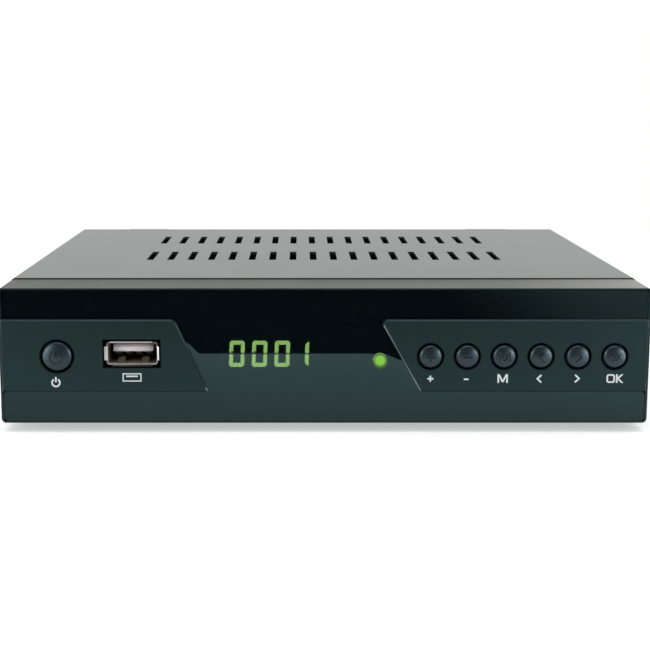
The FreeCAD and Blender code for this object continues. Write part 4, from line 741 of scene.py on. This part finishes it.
# How large each key's sunk sign is against its printed mark.
SIGN_SHARES = {"power": 1.7, "plus": 1.5, "minus": 1.9, "menu": 1.1,
               "left": 1.35, "right": 1.35, "ok": 0.85}
satin_key = textured("fine satin black ABS", "#101e20", 0.4 * MM, 0.002 * MM, 0.36, uneven=0.02, IOR=1.7,
                     Specular_Tint=(0.62, 0.84, 1.0, 1.0))
sunk = signs(SIGN_LINE)
slope = math.radians(DOME_SLOPE)
for key, share in SIGN_SHARES.items():
    low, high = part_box(f"{key}_button")
    length = high.y - low.y
    brim = (high.x - low.x) / 2
    cap = brim - BRIM
    edge = POWER_EDGE if key == "power" else KEY_EDGE
    ball = (cap - edge * (1 - math.sin(slope))) / math.sin(slope)
    brim_front = POST_LENGTH + BRIM_THICKNESS
    profile = [(0, POST), (POST_LENGTH, POST), (POST_LENGTH, brim), (brim_front, brim), (brim_front, cap)]
    rim = length - ball * (1 - math.cos(slope)) - edge * math.cos(slope)
    for step in range(EDGE_STEPS + 1):
        angle = math.radians(90 - (90 - DOME_SLOPE) * step / EDGE_STEPS)
        profile.append((rim + edge * math.cos(angle), cap - edge * (1 - math.sin(angle))))
    for step in range(1, DOME_STEPS):
        angle = slope * (1 - step / DOME_STEPS)
        profile.append((length - ball * (1 - math.cos(angle)), ball * math.sin(angle)))
    piece = turned(f"{key}_cap", profile, segments=64)
    sign = flat("sign", moved(sunk[key], 0, 0, share), 2 * SIGN_DEPTH)
    carved(piece, copies(sign, [((0, 0, length - SIGN_LOWER), (0, 0, 0))]))
    select_only(piece)
    bpy.ops.object.shade_smooth_by_angle(angle=math.radians(35))
    centre = ((low.x + high.x) / 2, high.y, (low.z + high.z) / 2)
    fit(copies(piece, [(centre, (math.radians(90), 0, 0))]), satin_key, "key_abs", f"{key}_button",
        body=f"{key}_key")
dress(textured("black nylon", "#1d1d1d", 0.3 * MM, 0.004 * MM, 0.5),
      "tact_switches", *[f"{key}_stem" for key in SIGN_SHARES])

# ---- USB socket
# A sleeve of nickel plated steel, rolled round, flared into four lips and sprung with two fingers that
# hold a plug, a white PBT tongue under its roof that grows out of a block painted near black as
# painted shade, and four gold plated springs that hang below the tongue, painted dull as painted shade.
# Inside its front edge the sleeve is painted darker and browner, and less metallic, as painted shade.
def pick(piece, wanted):
    """Enters edit mode with only the corners selected whose place passes a test."""
    select_only(piece)
    bpy.ops.object.mode_set(mode="EDIT")
    bpy.ops.mesh.select_mode(type="VERT")
    bpy.ops.mesh.select_all(action="DESELECT")
    bpy.ops.object.mode_set(mode="OBJECT")
    for vertex in piece.data.vertices:
        vertex.select = wanted(vertex.co)
    bpy.ops.object.mode_set(mode="EDIT")


def bent_strip(name, width, path, thickness):
    """A strip of sheet, level and centred across X, bent along (Y, Z) places, all in millimetres."""
    width *= MM
    path = [(y * MM, z * MM) for y, z in path]
    bpy.ops.object.select_all(action="DESELECT")
    bpy.ops.mesh.primitive_plane_add(size=width, location=(0, 0, 0))
    strip = bpy.context.object
    strip.name = name
    for (y, z), back in zip(path[:2], (1, -1)):
        pick(strip, lambda corner: corner.y * back > 0 and abs(corner.z) < SAME_PLACE)
        lift = z if abs(z) > SAME_PLACE else 2 * SAME_PLACE
        bpy.ops.transform.translate(value=(0, y - back * width / 2, lift))
        bpy.ops.object.mode_set(mode="OBJECT")
    last = path[1]
    pick(strip, lambda corner: abs(corner.y - last[0]) < SAME_PLACE)
    for (y, z), (before_y, before_z) in zip(path[2:], path[1:]):
        bpy.ops.mesh.extrude_edges_move(TRANSFORM_OT_translate={"value": (0, y - before_y, z - before_z)})
    bpy.ops.object.mode_set(mode="OBJECT")
    modifier = strip.modifiers.new("sheet", "SOLIDIFY")
    modifier.thickness = thickness * MM
    modifier.offset = 0
    bpy.ops.object.modifier_apply(modifier=modifier.name)
    return strip


def pulled(outlines, name, front, back):
    """A solid of one section, given in millimetres across X and Z, pulled from front to back."""
    return stood(flat(name, outlines, back - front), (0, (front + back) / 2, 0))


def joined(name, pieces):
    select_only(pieces[0])
    for piece in pieces[1:]:
        piece.select_set(True)
    bpy.ops.object.join()
    bpy.context.object.name = name
    return bpy.context.object


SAME_PLACE = 0.001 * MM
SHEET = 0.3       # sizes of the socket without MM are in millimetres
SETBACK = 0.5     # from the front of the lips' room to the sleeve's edge
LIP_FOOT = 0.5    # how far a lip's foot lies along the sleeve
BRIGHT_NICKEL = "#cbc8cb"
OUTER_CORNER, INNER_CORNER = 0.75, 0.45
FINGER, FINGER_SHEET = 1.8, 0.2
FINGER_SPREAD = 3.1
FINGER_PATH = [(1.2, 0.05), (2.9, 1.0), (4.0, 1.05), (7.5, 0.2)]
low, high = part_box("usb_shell")
middle = (low.x + high.x) / 2 / MM
sleeve_front = low.y + SETBACK * MM
left, right, bottom, top = middle - 6.2, middle + 6.35, low.z / MM + 0.85, high.z / MM - 0.78
bore = rounded_box(left, right, bottom, top, INNER_CORNER)
skin = rounded_box(left - SHEET, right + SHEET, bottom - SHEET, top + SHEET, OUTER_CORNER)
pieces = [pulled([skin, bore], "usb_sleeve", sleeve_front, high.y)]
centre_z = (bottom + top) / 2
# Each lip: its width, where its foot is, how far it flares, and how far it is turned from upwards.
LIPS = [("top lip", 10.8, (middle - 0.2, top + SHEET / 2), 0.45, 0),
        ("low lip", 10.4, (middle + 0.1, bottom - SHEET / 2), 0.5, 180),
        ("left lip", 3.6, (left - SHEET / 2, centre_z + 0.1), 0.72, 90),
        ("right lip", 3.6, (right + SHEET / 2, centre_z + 0.1), 0.6, -90)]
for name, width, (x, z), flare, angle in LIPS:
    path = [(LIP_FOOT, 0.0), (0.0, 0.0), (-0.2, 0.3 * flare), (-0.38, flare)]
    lip = bent_strip(name, width, path, SHEET)
    pieces.append(copies(lip, [((x * MM, sleeve_front, z * MM), (0, math.radians(-angle), 0))]))
finger = bent_strip("finger", FINGER, FINGER_PATH, FINGER_SHEET)
places = []
for side in (-1, 1):
    x = middle + 0.2 + side * FINGER_SPREAD
    places.append(((x * MM, sleeve_front, bottom * MM), (0, 0, 0)))
pieces.append(copies(finger, places))
nickel = textured("nickel plated steel", "#c6c3c6", 0.5 * MM, 0.002 * MM, 0.22, Metallic=1.0)
dress(nickel, "hdmi_shell", "scart_shield", "crystal")
# Painted shade: past the sleeve's front the nickel is painted darker, browner and less metallic.
painted_shade = textured("nickel plate, tarnished inside", BRIGHT_NICKEL, 0.5 * MM, 0.002 * MM, 0.2,
                     Metallic=1.0)
tree = painted_shade.node_tree
axes = object_axes(tree)
deep = add_node(tree, "MapRange", {
    "Value": axes["Y"], "From Min": sleeve_front - 0.12 * MM, "From Max": sleeve_front + 0.1 * MM,
})
colour = add_node(tree, "Mix", {
    "Factor": deep, "A": linear(BRIGHT_NICKEL), "B": linear("#74695c"),
}, data_type="RGBA")
metallic_inside = add_node(tree, "MapRange", {"Value": deep, "To Min": 1.0, "To Max": 0.55})
feed(tree.nodes["Principled BSDF"], Base_Color=colour, Metallic=metallic_inside)
fit(joined("usb_sleeve", pieces), painted_shade, "nickel_steel", "usb_shell")
dress(textured("white PBT", "#d6d2d4", 0.3 * MM, 0.002 * MM, 0.4), "f_insulators", "front_board_header",
      "main_board_header")

TONGUE_LOW, TONGUE_TOP = 21.2, 23.08
TONGUE_WIDE = 10.2
TONGUE_SETBACK = 1.2
BLOCK_DEPTH = 2.2 * MM
WHITE_PBT = "#f0ebf2"
low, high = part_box("usb_tongue")
block_front = high.y - BLOCK_DEPTH
nose, root = low.y / MM + TONGUE_SETBACK, high.y / MM
section = [(nose, TONGUE_LOW + 0.12), (nose + 0.12, TONGUE_LOW), (root, TONGUE_LOW), (root, TONGUE_TOP),
           (nose + 0.75, TONGUE_TOP), (nose + 0.1, TONGUE_LOW + 1.25), (nose, TONGUE_LOW + 1.1)]
plate = stood(flat("tongue", [section], TONGUE_WIDE * MM), ((middle + 0.09) * MM, 0, 0), facing="side")
block = pulled([bore], "block", block_front, high.y)
# Painted shade: the block behind the tongue is coloured near black for the socket's dark depth.
material = textured("white PBT, block painted dark as shade", WHITE_PBT, 0.3 * MM, 0.002 * MM, 0.45)
tree = material.node_tree
axes = object_axes(tree)
in_block = add_node(tree, "Math", {
    0: axes["Y"], 1: block_front - 0.1 * MM,
}, operation="GREATER_THAN")
colour = add_node(tree, "Mix", {
    "Factor": in_block, "A": linear(WHITE_PBT), "B": linear("#23251e"),
}, data_type="RGBA")
feed(tree.nodes["Principled BSDF"], Base_Color=colour)
fit(joined("usb_insulator", [plate, block]), material, "white_plastic", "usb_tongue")

SPRINGS = 4
SPRING, SPRING_SHEET = 1.5, 0.18
SPRING_PITCH = 2.6 * MM
SPRING_PATH = [(0.0, -2.45), (-1.0, -2.35), (-2.6, -1.7), (-4.4, -0.9), (-5.6, -0.5), (-6.0, -0.2)]
low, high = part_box("usb_contacts")
spring = bent_strip("usb_springs", SPRING, SPRING_PATH, SPRING_SHEET)
first_x = (low.x + high.x) / 2 - SPRING_PITCH * (SPRINGS - 1) / 2
places = [((first_x + SPRING_PITCH * index, block_front, TONGUE_LOW * MM), (0, 0, 0))
          for index in range(SPRINGS)]
# Painted shade: a duller, browner, less metallic copy of the gold, for how dark the springs look.
gold_painted_dull = textured("gold plated bronze, painted dull", "#9c8672", 0.3 * MM, 0.002 * MM, 0.4, Metallic=0.6)
fit(copies(spring, places), gold_painted_dull, "gold_contact", "usb_contacts")
gold = textured("gold plated bronze", "#cfa468", 0.3 * MM, 0.002 * MM, 0.32, Metallic=0.75)
dress(gold, "scart_contacts", "f_contacts")

# ---- Display and status light
# A four-digit block of green lamps behind the window and a round green lamp: cast resin that glows
# from inside. The window takes nearly all of their light, so they are bright behind it.
BEHIND_WINDOW = 88.0
CLOUD = 0.8 * MM               # patches in the resin that glow more or less
GREEN_RESIN = linear("#8ab464")
material, tree, shader = new_material("lit green resin", Base_Color=GREEN_RESIN, Roughness=0.45,
                                      Emission_Color=GREEN_RESIN)
place = add_node(tree, "TexCoord").outputs["Object"]
cloud = add_node(tree, "TexNoise", {"Vector": place, "Scale": 1 / CLOUD})
light = add_node(tree, "MapRange", {
    "Value": cloud, "To Min": BEHIND_WINDOW * 0.85, "To Max": BEHIND_WINDOW * 1.15,
})
feed(shader, Emission_Strength=light)
dress(material, "status_led")
low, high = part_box("lit_segments")
WIDE, TALL = 1.97, 3.44        # half a digit, in millimetres
BAR, LEVEL_BAR = 1.0, 1.02
CUT, GAP, POINT = 0.5, 0.03, 0.3
ITALIC = 0.034                 # how far a digit leans to the right for each millimetre up
DIGIT_DROP = 0.31 * MM
DIGITS = {-22.67: "abcdef", -16.79: "abcdef", -10.92: "abcdef", -5.96: "bc"}


def segment(name, centre):
    """The outline of one segment of a digit: a and d are level, the others stand."""
    if name in "ad":
        shape = [(CUT / 2 - WIDE + GAP, TALL - CUT / 2 + GAP), (CUT - WIDE, TALL), (WIDE - CUT, TALL),
                 (WIDE - CUT / 2 - GAP, TALL - CUT / 2 + GAP), (WIDE - BAR - GAP, TALL - LEVEL_BAR + GAP),
                 (BAR - WIDE + GAP, TALL - LEVEL_BAR + GAP)]
    else:
        shape = [(WIDE - CUT / 2 + GAP, TALL - CUT / 2 - GAP), (WIDE, TALL - CUT), (WIDE, POINT),
                 (WIDE - BAR / 2, 0.12), (WIDE - BAR, POINT), (WIDE - BAR + GAP, TALL - LEVEL_BAR - GAP)]
    flip_across = -1 if name in "ef" else 1
    flip_up = -1 if name in "cde" else 1
    return [(centre + x * flip_across + ITALIC * z * flip_up, z * flip_up) for x, z in shape]


outlines = [segment(name, centre) for centre, names in DIGITS.items() for name in names]
lamps = flat("lit_digits", outlines, high.y - low.y)
place = (0, (low.y + high.y) / 2, (low.z + high.z) / 2 - DIGIT_DROP)
fit(stood(lamps, place), material, "lit_lamp", "lit_segments")

DISC, DISC_CORE = 1.75 * MM, 0.9 * MM
RIM_LIGHT, CORE_LIGHT = 6.0, 56.0
GREEN_DISC = linear("#8fd31c")
disc = turned("status_diffuser", [(0, DISC), (0.22 * MM, DISC), (0.24 * MM, DISC - 0.1 * MM)])
material, tree, shader = new_material("frosted green disc", Base_Color=GREEN_DISC, Roughness=0.6,
                                      Emission_Color=GREEN_DISC)
light = add_node(tree, "MapRange", {
    "Value": from_status_light(tree, object_axes(tree)), "From Min": DISC_CORE, "From Max": DISC,
    "To Min": CORE_LIGHT, "To Max": RIM_LIGHT,
}, interpolation_type="SMOOTHSTEP")
feed(shader, Emission_Strength=light)
centre = (light_centre.x + 0.08 * MM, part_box("status_led")[0].y - 0.02 * MM, light_centre.z)
fit(copies(disc, [(centre, (math.radians(90), 0, 0))]), material, "green_led")
dress(textured("unlit resin", "#232824", 0.4 * MM, 0.002 * MM, 0.4), "unlit_segments")
dress(textured("black epoxy", "#141414", 0.25 * MM, 0.006 * MM, 0.5), "display_module", "ir_receiver",
      "display_driver", "main_chip", "memory_chips")

# ---- Boards
# Glass epoxy under green solder mask. The copper tracks below the mask are a paler green and stand
# up a little, in runs that change direction from patch to patch, with tinned pads between them.
TRACK_PITCH = 1.2 * MM
PATCH = 9 * MM
PAD_PITCH = 2.54 * MM
WAVE = 2 * math.pi / 20   # a wave texture repeats every WAVE / scale
material, tree, shader = new_material("green solder mask", Roughness=0.3, IOR=1.55)
place = add_node(tree, "TexCoord").outputs["Object"]
patches = add_node(tree, "TexVoronoi", {"Vector": place, "Scale": 1 / PATCH}, distance="CHEBYCHEV")
patch_axes = add_node(tree, "SeparateColor", {"Color": patches.outputs["Color"]})
turned_patch = add_node(tree, "Math", {0: patch_axes, 1: 0.5}, operation="GREATER_THAN")
across = add_node(tree, "TexWave", {"Vector": place, "Scale": WAVE / TRACK_PITCH}, bands_direction="X")
along = add_node(tree, "TexWave", {
    "Vector": place, "Scale": WAVE / TRACK_PITCH,
}, bands_direction="DIAGONAL")
runs = add_node(tree, "Mix", {
    "Factor": turned_patch, "A": across.outputs["Fac"], "B": along.outputs["Fac"],
})
track = add_node(tree, "MapRange", {"Value": runs, "From Min": 0.55, "From Max": 0.62})
pads = add_node(tree, "TexVoronoi", {"Vector": place, "Scale": 1 / PAD_PITCH, "Randomness": 0.35})
tinned = add_node(tree, "Math", {0: pads.outputs["Distance"], 1: 0.14}, operation="LESS_THAN")
mask = add_node(tree, "Mix", {
    "Factor": track, "A": linear("#0c3d22"), "B": linear("#1c6a3c"),
}, data_type="RGBA")
colour = add_node(tree, "Mix", {"Factor": tinned, "A": mask, "B": linear("#b8b8b0")}, data_type="RGBA")
bump = add_node(tree, "Bump", {"Height": track, "Distance": 0.03 * MM})
feed(shader, Base_Color=colour, Metallic=tinned, Normal=bump)
dress(material, "front_board", "main_board")

# ---- Parts on the boards
# A black anodised aluminium heat sink, ferrite coils, a grey vinyl ribbon with one red lead, and
# capacitors in dark blue sleeves with a pale stripe and a bare aluminium top.
dress(textured("black anodised aluminium", "#161617", 0.3 * MM, 0.003 * MM, 0.4, Metallic=0.5),
      "chip_heatsink")
dress(textured("ferrite", "#2b2a2b", 0.25 * MM, 0.02 * MM, 0.6), "power_inductors")
LEAD_PITCH = 1.27 * MM
low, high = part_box("board_ribbon")
material, tree, shader = new_material("grey vinyl", Roughness=0.45)
place = add_node(tree, "TexCoord").outputs["Object"]
leads = add_node(tree, "TexWave", {"Vector": place, "Scale": WAVE / LEAD_PITCH}, bands_direction="X")
axes = object_axes(tree)
edge_lead = add_node(tree, "Math", {0: axes["X"], 1: low.x + LEAD_PITCH}, operation="LESS_THAN")
colour = add_node(tree, "Mix", {
    "Factor": edge_lead, "A": linear("#b6b6b8"), "B": linear("#a32a22"),
}, data_type="RGBA")
bump = add_node(tree, "Bump", {"Height": leads.outputs["Fac"], "Distance": 0.2 * MM})
feed(shader, Base_Color=colour, Normal=bump)
dress(material, "board_ribbon")

low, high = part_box("electrolytic_capacitors")
CAPACITOR_PITCH = 11 * MM
CAPACITOR = 4 * MM
BARE_TOP = 0.86 * CAPACITOR
HALF_STRIPE = 0.4   # radians
material, tree, shader = new_material("shrink sleeve and aluminium", Roughness=0.32)
axes = object_axes(tree)
sideways = add_node(tree, "Math", {0: axes["X"], 1: low.x + CAPACITOR}, operation="SUBTRACT")
from_first = add_node(tree, "Math", {
    0: axes["Y"], 1: low.y + CAPACITOR - CAPACITOR_PITCH / 2,
}, operation="SUBTRACT")
in_pitch = add_node(tree, "Math", {0: from_first, 1: CAPACITOR_PITCH}, operation="FLOORED_MODULO")
lengthways = add_node(tree, "Math", {0: in_pitch, 1: CAPACITOR_PITCH / 2}, operation="SUBTRACT")
angle = add_node(tree, "Math", {0: lengthways, 1: sideways}, operation="ARCTAN2")
turn_off = add_node(tree, "Math", {0: angle}, operation="ABSOLUTE")
stripe = add_node(tree, "Math", {0: turn_off, 1: HALF_STRIPE}, operation="LESS_THAN")
across_top = add_node(tree, "CombineXYZ", {"X": sideways, "Y": lengthways})
from_axis = add_node(tree, "VectorMath", {0: across_top}, operation="LENGTH")
inner = add_node(tree, "Math", {0: from_axis, 1: BARE_TOP}, operation="LESS_THAN")
sleeve = add_node(tree, "Mix", {
    "Factor": stripe, "A": linear("#182142"), "B": linear("#a9afc0"),
}, data_type="RGBA")
colour = add_node(tree, "Mix", {"Factor": inner, "A": sleeve, "B": linear("#c4c5c6")}, data_type="RGBA")
feed(shader, Base_Color=colour, Metallic=inner)
dress(material, "electrolytic_capacitors")

# ---- Tuner and rear sockets
# The tuner is a can of tin plate. Its two aerial sockets are nickel plated brass with a cut thread
# of 32 turns to the inch; the others are nickel, orange plastic and black PBT.
dress(textured("tin plate", "#b4b5b3", 6 * MM, 0.004 * MM, 0.3, uneven=0.08, Metallic=1.0),
      "tuner_can", "tuner_lid")
nickel_brass = textured("nickel plated brass", "#cfcac0", 0.5 * MM, 0.002 * MM, 0.2, Metallic=1.0)
dress(nickel_brass, "spdif_barrel", "dc_jack_pin")
dress(textured("black PBT", "#181818", 0.3 * MM, 0.004 * MM, 0.42),
      "scart_body", "hdmi_tongue", "dc_jack_body")
dress(textured("orange PBT", "#e0701c", 0.3 * MM, 0.003 * MM, 0.38), "spdif_core")
THREAD_PITCH = 25.4 / 32 * MM
COLLAR = 5.4 * MM
COLLAR_LENGTH = 1.5 * MM
RELIEF = 4.3 * MM
RELIEF_LENGTH = 0.8 * MM
BARREL = 4.76 * MM
ROOT = BARREL - 0.42 * MM
BORE = 3.3 * MM
ONE_TURN = [(0.1, ROOT), (0.45, BARREL), (0.6, BARREL), (0.95, ROOT)]   # shares of the pitch, and radii
for name in ("lnb_out", "lnb_in"):
    low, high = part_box(f"{name}_connector")
    length = high.y - low.y
    start = COLLAR_LENGTH + RELIEF_LENGTH
    profile = [(0, COLLAR), (COLLAR_LENGTH, COLLAR), (COLLAR_LENGTH, RELIEF), (start, RELIEF)]
    turns = int((length - start) / THREAD_PITCH)
    for index in range(turns):
        profile += [(start + THREAD_PITCH * (index + share), radius) for share, radius in ONE_TURN]
    profile += [(length - 0.15 * MM, ROOT), (length, ROOT - 0.2 * MM), (length, BORE + 0.25 * MM),
                (length - 0.25 * MM, BORE), (0.1 * MM, BORE)]
    barrel = turned(f"{name}_barrel", profile, segments=56)
    centre = ((low.x + high.x) / 2, low.y, (low.z + high.z) / 2)
    fit(copies(barrel, [(centre, (math.radians(-90), 0, 0))]), nickel_brass, "nickel_brass",
        f"{name}_connector")

bpy.context.scene.view_settings.view_transform = "Standard"
